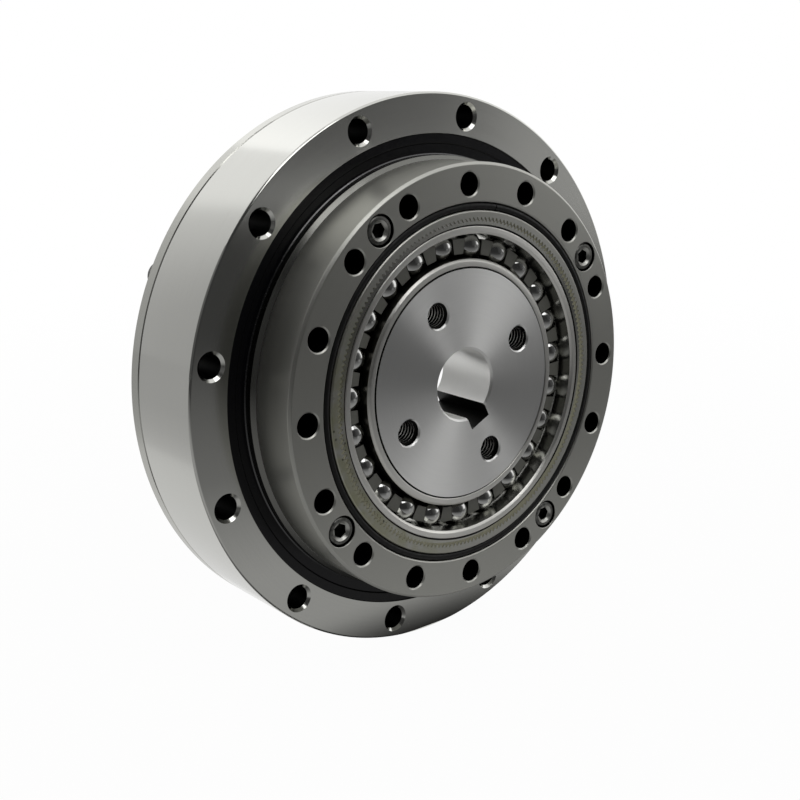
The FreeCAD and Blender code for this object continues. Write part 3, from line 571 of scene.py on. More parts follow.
def machined_metal(base, roughness, anisotropy):
    """Steel with fine lines round its axis that break its gloss and shade its colour a little."""
    material, tree, shader = new_finish()
    lines = machining_lines(tree)
    rough = add(tree, "ShaderNodeMapRange", inputs={
        "Value": lines, "From Min": 0.3, "From Max": 0.7,
        "To Min": roughness * (1 - LINE_CONTRAST), "To Max": roughness * (1 + LINE_CONTRAST),
    })
    dark = shaded(base, 1 - LINE_CONTRAST / 2)
    light = shaded(base, 1 + LINE_CONTRAST / 2)
    shade = add(tree, "ShaderNodeMix", {"data_type": "RGBA"},
                {"Factor": lines, MIX_FIRST: dark, MIX_SECOND: light})
    relief = add(tree, "ShaderNodeBump",
                 inputs={"Strength": LINE_RELIEF, "Distance": LINE_DEPTH, "Height": lines})
    tangent = add(tree, "ShaderNodeTangent", {"direction_type": "RADIAL", "axis": "Y"})
    connect(tree, shader, {
        "Base Color": shade.outputs[MIX_RESULT],
        "Metallic": 1,
        "Roughness": rough.outputs[0],
        "Anisotropic": anisotropy,
        "Anisotropic Rotation": QUARTER_TURN,
        "Normal": relief.outputs[0],
        "Tangent": tangent.outputs[0],
    })
    return material, tree, shader


def film_of_grease(tree, shader):
    """Film of used grease on the front face beside the teeth, patchy, gritty and thickest low on one side."""
    inner = sizes().rim_bore
    outer = sizes().groove_bore
    face = front("flex_outer_race")
    blur = 0.15 * MM
    patch_spacing = 2.5 * MM
    grit_spacing = 3.5 * MM
    place, radius, heading = round_the_axis(tree)
    depth = add(tree, "ShaderNodeSeparateXYZ", inputs={0: place}).outputs["Y"]
    side = add(tree, "ShaderNodeVectorMath", {"operation": "DOT_PRODUCT"}, {0: heading, 1: GREASE_SIDE})
    patch = add(tree, "ShaderNodeTexNoise",
                inputs={"Vector": place, "Scale": 1 / patch_spacing, "Detail": 3.0})
    patches = {"Value": patch.outputs["Fac"], "From Min": 0.3, "From Max": 0.6}
    low_down = {"Value": side.outputs["Value"], "From Min": 0.4, "From Max": 0.9}
    past_bore = {"Value": radius, "From Min": inner - blur, "From Max": inner + blur}
    to_edge = {"Value": radius, "From Min": outer - blur, "From Max": outer + blur,
               "To Min": 1, "To Max": 0}
    in_front = {"Value": depth, "From Min": face + blur, "From Max": face + 5 * blur,
                "To Min": 1, "To Max": 0}
    film = 1.0
    for limit in (patches, low_down, past_bore, to_edge, in_front):
        share = add(tree, "ShaderNodeMapRange", inputs=limit).outputs[0]
        film = add(tree, "ShaderNodeMath", {"operation": "MULTIPLY"}, {0: film, 1: share}).outputs[0]
    steel = shader.inputs["Base Color"].links[0].from_socket
    greased = add(tree, "ShaderNodeMix", {"data_type": "RGBA"},
                  {"Factor": film, MIX_FIRST: steel, MIX_SECOND: colours().grease_film}).outputs[MIX_RESULT]
    cells = add(tree, "ShaderNodeTexVoronoi", inputs={"Vector": place, "Scale": 1 / grit_spacing})
    grit = add(tree, "ShaderNodeMapRange", inputs={
        "Value": cells.outputs["Distance"], "From Min": 0.05, "From Max": 0.09, "To Min": 1, "To Max": 0,
    })
    speck = add(tree, "ShaderNodeMath", {"operation": "MULTIPLY"}, {0: grit.outputs[0], 1: film}).outputs[0]
    gritty = add(tree, "ShaderNodeMix", {"data_type": "RGBA"},
                 {"Factor": speck, MIX_FIRST: greased, MIX_SECOND: colours().grit_and_shade_black})
    connect(tree, shader, {"Base Color": gritty.outputs[MIX_RESULT]})


@once
def ground_bearing_steel():
    """Hardened bearing steel, ground: a silver sheen with fine streaks round the ring."""
    return machined_metal(colours().ground_steel, roughness=0.11, anisotropy=0.92)[0]


@once
def turned_spline_steel():
    """Alloy steel, fine turned and lightly oiled: a darker, softer grey, filmed with grease by the teeth."""
    material, tree, shader = machined_metal(colours().spline_steel, roughness=0.4, anisotropy=0.4)
    film_of_grease(tree, shader)
    return material


@once
def turned_plug_steel():
    """Alloy steel, faced on a lathe: fans of light that reach out from the bore."""
    return machined_metal(colours().plug_steel, roughness=0.42, anisotropy=0.93)[0]


@once
def shade_darkened_collar_steel():
    """Ground bearing steel, darkened as painted shade by the seal: black but for a bright line at its edge.
    """
    return machined_metal(colours().collar_steel, roughness=0.22, anisotropy=0.5)[0]


@once
def ground_race_steel():
    """Bearing steel, fine ground: a light satin grey with a few faint rings."""
    return machined_metal(colours().race_steel, roughness=0.4, anisotropy=0.75)[0]


@once
def shade_darkened_track_steel():
    """Bearing steel, ground, darkened as painted shade: the black gap between the balls and the inner race.
    """
    return machined_metal(colours().track_steel, roughness=0.3, anisotropy=0.2)[0]


@once
def wiped_track_steel():
    """Bearing steel, ground and wiped by the balls: a grey band that mirrors them."""
    return machined_metal(colours().wiped_steel, roughness=0.22, anisotropy=0.5)[0]


@once
def greased_spring_steel():
    """Spring steel, turned and ground: grey, with a film of grease on the rim's face."""
    material, tree, shader = machined_metal(colours().spring_steel, roughness=0.14, anisotropy=0.9)
    film_of_grease(tree, shader)
    return material


@once
def dirt_and_shade_steel():
    """Near-black steel: painted shade down holes and keyway, a dark dirt line at seat edges, a faint ring
    here and there.
    """
    return machined_metal(colours().hole_steel, roughness=0.45, anisotropy=0.2)[0]


@once
def tapped_thread_steel():
    """Alloy steel, tapped: bright lines along the crests of the thread."""
    return machined_metal(colours().thread_steel, roughness=0.45, anisotropy=0.2)[0]


@once
def worn_socket_steel():
    """Alloy steel that the key has rubbed bare: a bright ring round the socket."""
    return machined_metal(colours().screw_rim, roughness=0.35, anisotropy=0.2)[0]


@once
def lapped_ball_steel():
    """Chromium steel, lapped: a clean mirror with a faint haze of grease."""
    material, tree, shader = new_finish()
    place = add(tree, "ShaderNodeTexCoord").outputs["Object"]
    haze = add(tree, "ShaderNodeTexNoise", inputs={"Vector": place, "Scale": 1 / (1.5 * MM), "Detail": 2.0})
    rough = add(tree, "ShaderNodeMapRange", inputs={
        "Value": haze.outputs["Fac"], "From Min": 0.35, "From Max": 0.7, "To Min": 0.05, "To Max": 0.16,
    })
    connect(tree, shader,
            {"Base Color": colours().ball_steel, "Metallic": 1, "Roughness": rough.outputs[0]})
    return material


@once
def drawn_spring_steel():
    """Spring steel wire, drawn: plain grey with a soft shine, hidden under the seal lip."""
    material, tree, shader = new_finish()
    place = add(tree, "ShaderNodeTexCoord").outputs["Object"]
    scale = add(tree, "ShaderNodeTexNoise", inputs={"Vector": place, "Scale": 1 / (0.5 * MM)})
    rough = add(tree, "ShaderNodeMapRange",
                inputs={"Value": scale.outputs["Fac"], "To Min": 0.25, "To Max": 0.4})
    connect(tree, shader,
            {"Base Color": colours().screw_rim, "Metallic": 1, "Roughness": rough.outputs[0]})
    return material


@once
def blackened_screw_steel():
    """Alloy steel, blackened: dark grey, with a faint mottle from the bath."""
    material, tree, shader = new_finish()
    place = add(tree, "ShaderNodeTexCoord").outputs["Object"]
    wear = add(tree, "ShaderNodeTexNoise", inputs={"Vector": place, "Scale": 1 / (0.7 * MM), "Detail": 4.0})
    rubbed = add(tree, "ShaderNodeMapRange", inputs={
        "Value": wear.outputs["Fac"], "From Min": 0.35, "From Max": 0.7, "To Min": 0, "To Max": 0.4,
    }).outputs[0]
    shade = add(tree, "ShaderNodeMix", {"data_type": "RGBA"},
                {"Factor": rubbed, MIX_FIRST: colours().screw_steel, MIX_SECOND: colours().screw_rim})
    connect(tree, shader, {"Base Color": shade.outputs[MIX_RESULT], "Metallic": 1, "Roughness": 0.34})
    return material


def oiled_rubber(base, gloss, grain, smooth, coarse):
    """Nitrile rubber as moulded: near black, with a grain in its gloss and a share of the usual gloss."""
    material, tree, shader = new_finish()
    place = add(tree, "ShaderNodeTexCoord").outputs["Object"]
    film = add(tree, "ShaderNodeTexNoise",
               inputs={"Vector": place, "Scale": 1 / grain, "Detail": 3.0}).outputs["Fac"]
    rough = add(tree, "ShaderNodeMapRange", inputs={
        "Value": film, "From Min": 0.35, "From Max": 0.65, "To Min": smooth, "To Max": coarse,
    })
    relief = add(tree, "ShaderNodeBump", inputs={"Strength": 0.08, "Distance": 0.05 * MM, "Height": film})
    connect(tree, shader, {
        "Base Color": base,
        "Roughness": rough.outputs[0],
        "IOR": 1.52,
        "Specular IOR Level": gloss,
        "Normal": relief.outputs[0],
    })
    return material


@once
def moulded_seal_rubber():
    """Nitrile rubber, moulded and wiped with oil: near black, with small sharp glints."""
    return oiled_rubber(colours().seal_rubber, gloss=0.25, grain=0.9 * MM, smooth=0.16, coarse=0.26)


@once
def oiled_lip_rubber():
    """Nitrile rubber, moulded, with oil gathered along the lip: a broken line of white glints."""
    return oiled_rubber(colours().seal_rubber, gloss=1.0, grain=0.5 * MM, smooth=0.1, coarse=0.3)


@once
def moulded_ring_rubber():
    """Nitrile rubber, moulded: matt black with a soft shine along its crown."""
    return oiled_rubber(colours().ring_rubber, gloss=0.3, grain=1.2 * MM, smooth=0.38, coarse=0.6)


@once
def moulded_cage_plastic():
    """Glass-filled nylon, moulded: flat grey with a faint mottle from the fibres."""
    material, tree, shader = new_finish()
    base = colours().cage_plastic
    place = add(tree, "ShaderNodeTexCoord").outputs["Object"]
    fibres = add(tree, "ShaderNodeTexNoise",
                 inputs={"Vector": place, "Scale": 1 / (0.35 * MM), "Detail": 4.0}).outputs["Fac"]
    shade = add(tree, "ShaderNodeMix", {"data_type": "RGBA"},
                {"Factor": fibres, MIX_FIRST: shaded(base, 0.8), MIX_SECOND: base})
    relief = add(tree, "ShaderNodeBump", inputs={"Strength": 0.2, "Distance": 0.03 * MM, "Height": fibres})
    connect(tree, shader,
            {"Base Color": shade.outputs[MIX_RESULT], "Roughness": 0.42, "Normal": relief.outputs[0]})
    return material


def smeared_grease(base, roughness):
    """Soap-thickened grease, smeared in by use: a soft wet shine over small lumps; in near black, painted
    shade behind the balls.
    """
    material, tree, shader = new_finish()
    place = add(tree, "ShaderNodeTexCoord").outputs["Object"]
    lumps = add(tree, "ShaderNodeTexNoise",
                inputs={"Vector": place, "Scale": 1 / (0.8 * MM), "Detail": 3.0}).outputs["Fac"]
    shade = add(tree, "ShaderNodeMix", {"data_type": "RGBA"},
                {"Factor": lumps, MIX_FIRST: shaded(base, 0.6), MIX_SECOND: base})
    relief = add(tree, "ShaderNodeBump", inputs={"Strength": 0.5, "Distance": 0.1 * MM, "Height": lumps})
    connect(tree, shader, {
        "Base Color": shade.outputs[MIX_RESULT],
        "Roughness": roughness,
        "IOR": 1.48,
        "Normal": relief.outputs[0],
    })
    return material


@once
def smeared_tooth_grease():
    """Lithium grease, grey with fine steel: it fills the gaps between the teeth to a smooth olive band."""
    return smeared_grease(colours().grease, roughness=0.35)


@once
def shade_sheet_behind_balls():
    """Near-black sheet of painted shade behind the balls, finished like smeared grease."""
    return smeared_grease(colours().grit_and_shade_black, roughness=0.4)


def seen_or_mirrored(tree):
    """One for rays from the camera, a mirror or glass, and nought for light that falls on a surface."""
    rays = add(tree, "ShaderNodeLightPath").outputs
    seen = rays["Is Camera Ray"]
    for kind in ("Is Glossy Ray", "Is Transmission Ray"):
        seen = add(tree, "ShaderNodeMath", {"operation": "MAXIMUM"}, {0: seen, 1: rays[kind]}).outputs[0]
    return seen


def white_paper():
    """White paper: plain white where it is seen or mirrored, with the gearbox's soft shadow close to it."""
    material, tree, shader = new_finish("white_paper")
    connect(tree, shader, {"Base Color": colours().floor, "Roughness": 0.9})
    glow = add(tree, "ShaderNodeEmission", inputs={"Color": (1, 1, 1, 1), "Strength": 1.0})
    place = add(tree, "ShaderNodeTexCoord").outputs["Object"]
    away = add(tree, "ShaderNodeVectorMath", {"operation": "LENGTH"}, {0: place}).outputs["Value"]
    bright = add(tree, "ShaderNodeMapRange", inputs={
        "Value": away, "From Min": PAPER_NEAR, "From Max": PAPER_FAR, "To Min": PAPER_GLOW, "To Max": 1.0,
    })
    share = add(tree, "ShaderNodeMath", {"operation": "MULTIPLY"},
                {0: seen_or_mirrored(tree), 1: bright.outputs[0]})
    mix = add(tree, "ShaderNodeMixShader",
              inputs={0: share.outputs[0], 1: shader.outputs[0], 2: glow.outputs[0]})
    connect(tree, tree.nodes["Material Output"], {"Surface": mix.outputs[0]})
    return material


def grey_card(name, shades):
    """Grey card, shaded from its low or near edge on: how a studio's dim parts look in polished steel."""
    material, tree, shader = new_finish(name)
    along = add(tree, "ShaderNodeSeparateXYZ", inputs={0: add(tree, "ShaderNodeTexCoord").outputs["UV"]})
    ramp = add(tree, "ShaderNodeValToRGB", inputs={0: along.outputs["Y"]})
    stops = ramp.color_ramp.elements
    for extra in shades[len(stops):]:
        stops.new(extra[0])
    for stop, (place, glow) in zip(stops, shades):
        stop.position = place
        stop.color = (glow, glow, glow, 1)
    light = add(tree, "ShaderNodeEmission", inputs={"Color": ramp.outputs["Color"], "Strength": 1.0})
    connect(tree, tree.nodes["Material Output"], {"Surface": light.outputs[0]})
    tree.nodes.remove(shader)
    return material


class GEARBOX_OT_housing(bpy.types.Operator):
    """Outer ring with its flange holes, seal seat and roller groove"""

    bl_idname = "gearbox.housing"
    bl_label = "Outer ring"

    def execute(self, context):
        s = sizes()
        steel = ground_bearing_steel()
        radius = reach("outer_ring")
        face = front("outer_ring")
        joint = back("outer_ring")
        seat = reach("seal_case")
        seat_end = back("seal_case")
        raceway = face + s.raceway_place
        ring = turned("outer_ring_ground", [
            (seat, face),
            (radius - s.edge, face),
            (radius, face + s.edge),
            (radius, joint - s.joint),
            (radius - s.joint, joint),
            (s.housing_bore, joint),
            (s.housing_bore, raceway + s.raceway_depth),
            (s.housing_bore + s.raceway_depth, raceway),
            (s.housing_bore, raceway - s.raceway_depth),
            (s.housing_bore, seat_end),
            (seat, seat_end),
        ])
        coat(ring, steel)
        soften(ring, s.softness)
        hole = hole_tool(s.hole_radius, face, joint + OVERSHOOT, s.housing_circle, steel, s.housing_chamfer)
        cut_away(ring, ring_of(hole, s.housing_holes, math.degrees(s.housing_angle)))
        place_piece(ring, "housing", "housing_steel", "outer_ring")
        return {"FINISHED"}


class GEARBOX_OT_output_ring(bpy.types.Operator):
    """Output ring with internal teeth, face groove, holes and sunk screw seats"""

    bl_idname = "gearbox.output_ring"
    bl_label = "Output ring"

    def execute(self, context):
        s = sizes()
        steel = turned_spline_steel()
        radius = reach("circular_spline")
        face = front("circular_spline")
        end = back("circular_spline")
        inner = s.rim_bore
        groove = face + s.groove_depth
        ring = turned("circular_spline_turned", [
            (inner, face),
            (s.groove_bore - s.groove_edge, face),
            (s.groove_bore, face + s.groove_edge),
            (s.groove_bore, groove),
            (s.groove_radius, groove),
            (s.groove_radius, face + s.groove_edge),
            (s.groove_radius + s.groove_edge, face),
            (radius - s.output_edge, face),
            (radius, face + s.output_edge),
            (radius, end),
            (inner, end),
        ])
        coat(ring, steel)
        soften(ring, s.softness)
        past_end = end + OVERSHOOT
        hole = hole_tool(s.hole_radius, face, past_end, s.output_circle, steel, s.output_chamfer)
        cut_away(ring, ring_of(hole, s.output_holes, math.degrees(s.output_angle)))
        seat = hole_tool(s.screw_seat, face, face + s.seat_depth, s.output_circle, steel, s.softness)
        cut_away(ring, ring_of(seat, s.screws, output_screw_angle()))
        screw_hole = hole_tool(s.screw_hole, face, past_end, s.output_circle, steel)
        cut_away(ring, ring_of(screw_hole, s.screws, output_screw_angle()))
        teeth = self.tooth_tool(face - OVERSHOOT, past_end)
        coat(teeth, steel)
        cut_away(ring, teeth)
        place_piece(ring, "output", "spline_steel", "circular_spline")
        return {"FINISHED"}

    def tooth_tool(self, start, end):
        """Tool with the outline of the internal teeth's gaps, one gap on the wave's long axis."""
        s = sizes()
        teeth = s.teeth + 2
        pitch_radius = s.module * teeth / 2
        tip = pitch_radius - ADDENDUM * s.module
        root = pitch_radius + DEDENDUM * s.module
        slope = math.tan(s.flank)
        gap_half = math.pi * s.module / 4 + s.tooth_play / 2
        tip_half = gap_half + ADDENDUM * s.module * slope
        root_half = gap_half - DEDENDUM * s.module * slope
        outline = []
        for tooth in range(teeth):
            heading = s.wave_angle + 2 * math.pi * tooth / teeth
            outline += [(tip, heading - tip_half / tip), (root, heading - root_half / root),
                        (root, heading + root_half / root), (tip, heading + tip_half / tip)]
        loops = [[polar(radius, heading, depth) for radius, heading in outline] for depth in (start, end)]
        return skinned("tooth_tool", loops, closed=False)


class GEARBOX_OT_flexspline(bpy.types.Operator):
    """Flexspline with its toothed oval rim, thin barrel, diaphragm and clamped brim"""

    bl_idname = "gearbox.flexspline"
    bl_label = "Flexspline"

    def execute(self, context):
        s = sizes()
        steel = greased_spring_steel()
        face = front("flex_outer_race")
        tooth_end = back("circular_spline")
        joint = back("outer_ring")
        end = back("flexspline")
        teeth = self.tooth_outline(face)
        headings = [math.atan2(-point.z, point.x) for point in teeth]
        bore = s.rim_bore
        barrel = bore + s.barrel_wall
        brim_bore = s.brim_bore
        brim = reach("flexspline")
        sheet = joint + s.diaphragm_setback
        sheet_back = sheet + s.diaphragm_wall
        bend = s.barrel_bend
        inner_bend = bend + s.diaphragm_wall
        turns = [math.radians(step) for step in range(0, 90 + BEND_STEP, BEND_STEP)]

        def round_loop(radius, depth, wave=0.0):
            return [polar(radius + wave * math.cos(2 * (heading - s.wave_angle)), heading, depth)
                    for heading in headings]

        def bend_loop(start, corner, bend_radius, swing):
            return round_loop(start + bend_radius * (1 - math.cos(swing)),
                              corner - bend_radius * (1 - math.sin(swing)))

        loops = [teeth, self.tooth_outline(tooth_end)]
        loops.append(round_loop(barrel, tooth_end, s.module))
        loops += [bend_loop(barrel, sheet, bend, swing) for swing in turns]
        loops.append(round_loop(brim_bore, sheet))
        loops.append(round_loop(brim_bore, joint))
        loops.append(round_loop(brim - s.joint, joint))
        loops.append(round_loop(brim, joint + s.joint))
        loops.append(round_loop(brim, end - s.edge))
        loops.append(round_loop(brim - s.edge, end))
        loops.append(round_loop(brim_bore, end))
        loops.append(round_loop(brim_bore, sheet_back))
        loops += [bend_loop(bore, sheet_back, inner_bend, swing) for swing in reversed(turns)]
        loops.append(round_loop(bore, tooth_end, s.module))
        loops.append(round_loop(bore, face + s.seat_edge, s.module))
        loops.append(round_loop(bore + s.seat_edge, face, s.module))
        piece = skinned("flexspline_formed", loops, closed=True)
        coat(piece, steel, dirt_and_shade_steel())
        finish_front_edge(piece, face + s.seat_edge)
        past_end = end + OVERSHOOT
        hole = hole_tool(s.hole_radius, joint, past_end, s.housing_circle, steel)
        cut_away(piece, ring_of(hole, s.housing_holes, math.degrees(s.housing_angle)))
        screw_hole = hole_tool(s.screw_hole, joint, past_end, s.housing_circle, steel)
        cut_away(piece, ring_of(screw_hole, s.screws, rear_screw_angle()))
        place_piece(piece, "housing", "flexspline_steel", "flexspline")
        return {"FINISHED"}

    def tooth_outline(self, depth):
        """Outline of the external teeth, each carried by the wave as the oval plug holds it."""
        s = sizes()
        pitch_radius = s.module * s.teeth / 2
        slope = math.tan(s.flank)
        half = math.pi * s.module / 4 - s.tooth_play / 2
        root_half = half + DEDENDUM * s.module * slope
        tip_half = half - ADDENDUM * s.module * slope
        outline = []
        for tooth in range(s.teeth):
            rest = 2 * math.pi * tooth / s.teeth
            # The rim keeps its length, which carries a tooth back by half a swing. Its slope is two swings.
            swing = s.module * math.sin(2 * rest) / pitch_radius
            lift = s.module * math.cos(2 * rest)
            carried = s.wave_angle + rest - swing / 2
            centre = polar(pitch_radius + lift, carried, depth)
            heading = carried + 2 * swing
            outwards = polar(s.module, heading, 0)
            along = polar(1, heading + math.pi / 2, 0)
            root = centre - outwards * DEDENDUM
            tip = centre + outwards * ADDENDUM
            outline += [root - along * root_half, tip - along * tip_half,
                        tip + along * tip_half, root + along * root_half]
        return outline


class GEARBOX_OT_inner_ring(bpy.types.Operator):
    """Front half of the bearing's inner ring, whose collar shows inside the seal"""

    bl_idname = "gearbox.inner_ring"
    bl_label = "Inner ring"

    def execute(self, context):
        s = sizes()
        steel = shade_darkened_collar_steel()
        face = front("inner_ring_front")
        split = back("inner_ring_front")
        radius = reach("inner_ring_front")
        collar_end = back("seal_case") + s.collar_margin
        ring = turned("inner_ring_ground", [
            (s.ring_bore, face),
            (s.collar_radius - s.collar_edge, face),
            (s.collar_radius, face + s.collar_edge),
            (s.collar_radius, collar_end),
            (radius, collar_end),
            (radius, split - s.raceway_depth),
            (radius - s.raceway_depth, split),
            (s.ring_bore, split),
        ])
        coat(ring, steel)
        soften(ring, s.softness / 2)
        tap = hole_tool(s.tap_radius, face, face + s.tap_depth, s.output_circle, steel)
        cut_away(ring, ring_of(tap, s.output_holes, math.degrees(s.output_angle)))
        place_piece(ring, "output", "bearing_steel", "inner_ring_front")
        dress_node("inner_ring_rear", steel)
        dress_node("rollers_forward", lapped_ball_steel())
        dress_node("rollers_backward", lapped_ball_steel())
        return {"FINISHED"}


class GEARBOX_OT_seal(bpy.types.Operator):
    """Radial seal: rubber-covered case, lip and garter spring"""

    bl_idname = "gearbox.seal"
    bl_label = "Radial seal"

    def execute(self, context):
        s = sizes()
        face = front("seal_case")
        end = back("seal_case")
        seat = reach("seal_case")
        rubber = moulded_seal_rubber()
        case = turned("seal_case_moulded", [
            (s.lip_root, face + s.seal_step),
            (s.lip_root + s.seal_step, face),
            (seat, face),
            (seat, end),
            (seat - s.seal_wall, end),
            (seat - s.seal_wall, face + s.seal_wall),
            (s.lip_root, face + s.seal_wall),
        ])
        coat(case, rubber)
        soften(case, s.softness)
        place_piece(case, "housing", "seal_rubber", "seal_case")
        tip = s.collar_radius + s.seal_gap
        slack = tip + s.seal_step
        lip_end = back("seal_lip")
        belly = middle("seal_spring")
        lip = turned("seal_lip_moulded", [
            (tip, face),
            (slack, face + s.seal_step),
            (s.lip_root, face + s.seal_step),
            (s.lip_root, face + s.seal_wall),
            (s.lip_back, face + 1.5 * s.seal_wall),
            (s.lip_back, lip_end),
            (slack, lip_end),
            (tip, belly),
            (slack, face + s.seal_wall),
        ])
        coat(lip, rubber, oiled_lip_rubber())
        soften(lip, s.softness / 2)
        finish_front_edge(lip, face + s.seal_step)
        place_piece(lip, "housing", "seal_rubber", "seal_lip")
        dress_node("seal_spring", drawn_spring_steel())
        return {"FINISHED"}


class GEARBOX_OT_face_ring(bpy.types.Operator):
    """Rubber ring pressed into the groove of the output face"""

    bl_idname = "gearbox.face_ring"
    bl_label = "Face ring"

    def execute(self, context):
        s = sizes()
        rubber = moulded_ring_rubber()
        low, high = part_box("face_o_ring")
        section = s.face_ring_section
        centre = low.y + section
        radius = high.x - section
        outline = []
        for step in range(SECTION_STEPS):
            swing = 2 * math.pi * step / SECTION_STEPS
            depth = min(high.y, centre + section * math.sin(swing))
            outline.append((radius + section * math.cos(swing), depth))
        ring = turned("face_ring_moulded", outline)
        coat(ring, rubber)
        half = s.face_ring_joint / 2
        slit_low = (radius - 2 * section, low.y - OVERSHOOT, -half)
        slit_high = (radius + 2 * section, centre, half)
        slit = block_tool(slit_low, slit_high, rubber)
        slit.data.transform(turn(math.degrees(s.face_ring_angle)))
        cut_away(ring, slit)
        place_piece(ring, "output", "o_ring_rubber", "face_o_ring")
        return {"FINISHED"}


class GEARBOX_OT_screws(bpy.types.Operator):
    """Socket screws, sunk in the output face and standing on the brim"""

    bl_idname = "gearbox.screws"
    bl_label = "Screws"

    def execute(self, context):
        s = sizes()
        sunk_ends = (front("output_screw_1"), front("circular_spline") + s.seat_depth, back("output_screw_1"))
        self.make_set("output_screw", sunk_ends, s.output_circle, output_screw_angle(), "output")
        rear_ends = (back("rear_screw_1"), back("flexspline"), front("rear_screw_1"))
        self.make_set("rear_screw", rear_ends, s.housing_circle, rear_screw_angle(), "housing")
        return {"FINISHED"}

    def make_set(self, node, ends, circle, first, body):
        """Model one screw from its top over its seat to its end, then copy it to the places of its nodes."""
        s = sizes()
        top, seat, end = ends
        inwards = math.copysign(1, end - top)
        rim = s.head_chamfer * inwards
        screw = turned(node + "_model", [
            (0, top),
            (s.head_radius - s.head_chamfer, top),
            (s.head_radius, top + rim),
            (s.head_radius, seat),
            (s.shank_radius, seat),
            (s.shank_radius, end - rim),
            (s.shank_radius - s.head_chamfer, end),
            (0, end),
        ], HOLE_STEPS)
        coat(screw, blackened_screw_steel())
        soften(screw, s.softness / 2)
        corner = s.socket_width / math.sqrt(3)
        above = top - OVERSHOOT * inwards
        floor = top + s.socket_depth * inwards
        socket = turned("socket_tool", [
            (0, above),
            (corner, above),
            (corner, floor),
            (0, floor + corner / 2 * inwards),
        ], HEXAGON)
        mouth = turned("mouth_tool", [
            (0, above),
            (corner + s.socket_mouth + OVERSHOOT, above),
            (corner, top + s.socket_mouth * inwards),
            (0, top + s.socket_mouth * inwards),
        ], HOLE_STEPS)
        coat(mouth, worn_socket_steel())
        cut_away(screw, mouth)
        # The hexagon socket is near black as painted shade.
        coat(socket, dirt_and_shade_steel())
        cut_away(screw, socket)
        screw.data.transform(Matrix.Translation((circle, 0, 0)))
        for place in range(s.screws):
            name = f"{node}_{place + 1}"
            copy = copied(name + "_blackened", screw.data)
            copy.data.transform(turn(first + 360 * place / s.screws))
            place_piece(copy, body, "screw_steel", name)
        bpy.data.objects.remove(screw)


class GEARBOX_OT_plug(bpy.types.Operator):
    """Oval plug with keyed bore and threaded holes"""

    bl_idname = "gearbox.plug"
    bl_label = "Oval plug"

    def execute(self, context):
        s = sizes()
        steel = turned_plug_steel()
        face = front("wave_plug")
        end = back("wave_plug")
        step = back("flex_inner_race")
        flange = s.plug_radius + s.plug_step
        flange_end = step + s.flange_width
        wave = math.degrees(s.wave_angle)
        plug = turned("wave_plug_turned", [
            (0, face),
            (s.plug_radius - s.seat_edge, face),
            (s.plug_radius, face + s.seat_edge),
            (s.plug_radius, step),
            (flange, step),
            (flange, flange_end),
            (0, flange_end),
        ])
        coat(plug, steel, dirt_and_shade_steel())
        finish_front_edge(plug, face + s.seat_edge)
        bend_to_wave(plug)
        hub = turned("plug_hub_turned", [
            (0, step),
            (s.hub_radius, step),
            (s.hub_radius, end - s.bore_chamfer),
            (s.hub_radius - s.bore_chamfer, end),
            (0, end),
        ], BORE_STEPS)
        coat(hub, steel)
        combine(plug, hub, "UNION")
        mouth = s.bore_chamfer
        bore = turned("bore_tool", [
            (0, face - OVERSHOOT),
            (s.bore_radius + mouth + OVERSHOOT, face - OVERSHOOT),
            (s.bore_radius, face + mouth),
            (s.bore_radius, end - mouth),
            (s.bore_radius + mouth + OVERSHOOT, end + OVERSHOOT),
            (0, end + OVERSHOOT),
        ], BORE_STEPS)
        coat(bore, steel)
        cut_away(plug, bore)
        low = (0, face - OVERSHOOT, -s.key_width / 2)
        high = (s.bore_radius + s.key_depth, end + OVERSHOOT, s.key_width / 2)
        # The keyway's walls are near black as painted shade.
        keyway = block_tool(low, high, dirt_and_shade_steel())
        keyway.data.transform(turn(wave))
        cut_away(plug, keyway)
        hole = hole_tool(s.thread_root, face, flange_end + OVERSHOOT, s.tap_circle, steel, s.thread_chamfer)
        cut_away(plug, ring_of(hole, s.taps, wave))
        threads = ring_of(self.thread(face, flange_end), s.taps, wave)
        activate(plug)
        threads.select_set(True)
        bpy.ops.object.join()
        place_piece(plug, "wave_generator", "plug_steel", "wave_plug")
        return {"FINISHED"}

    def thread(self, face, end):
        """Ridge of one internal thread, wound right-handed along its hole."""
        s = sizes()
        foot = s.thread_root + s.softness / 4
        corners = [(foot, -THREAD_FOOT), (s.thread_crest, -THREAD_CREST),
                   (s.thread_crest, THREAD_CREST), (foot, THREAD_FOOT)]
        ridge = started("thread_ridge", bpy.ops.mesh.primitive_circle_add, vertices=len(corners), radius=MM)
        start = face + s.thread_chamfer + s.thread_pitch / 2
        for vertex, (radius, place) in zip(ridge.data.vertices, corners):
            vertex.co = (radius, start + place * s.thread_pitch, 0)
        turns = int((end - start) / s.thread_pitch)
        apply_modifier(ridge, "SCREW", axis="Y", angle=2 * math.pi, screw_offset=s.thread_pitch,
                       iterations=turns, steps=THREAD_STEPS, render_steps=THREAD_STEPS)
        close_mesh(ridge, len(corners))
        coat(ridge, dirt_and_shade_steel(), tapped_thread_steel())
        # Crests take the tapped steel; the flanks are near black as painted shade.
        for side in ridge.data.polygons:
            side.material_index = int(abs(side.normal.y) < MOSTLY)
        ridge.data.transform(Matrix.Translation((s.tap_circle, 0, 0)))
        return ridge


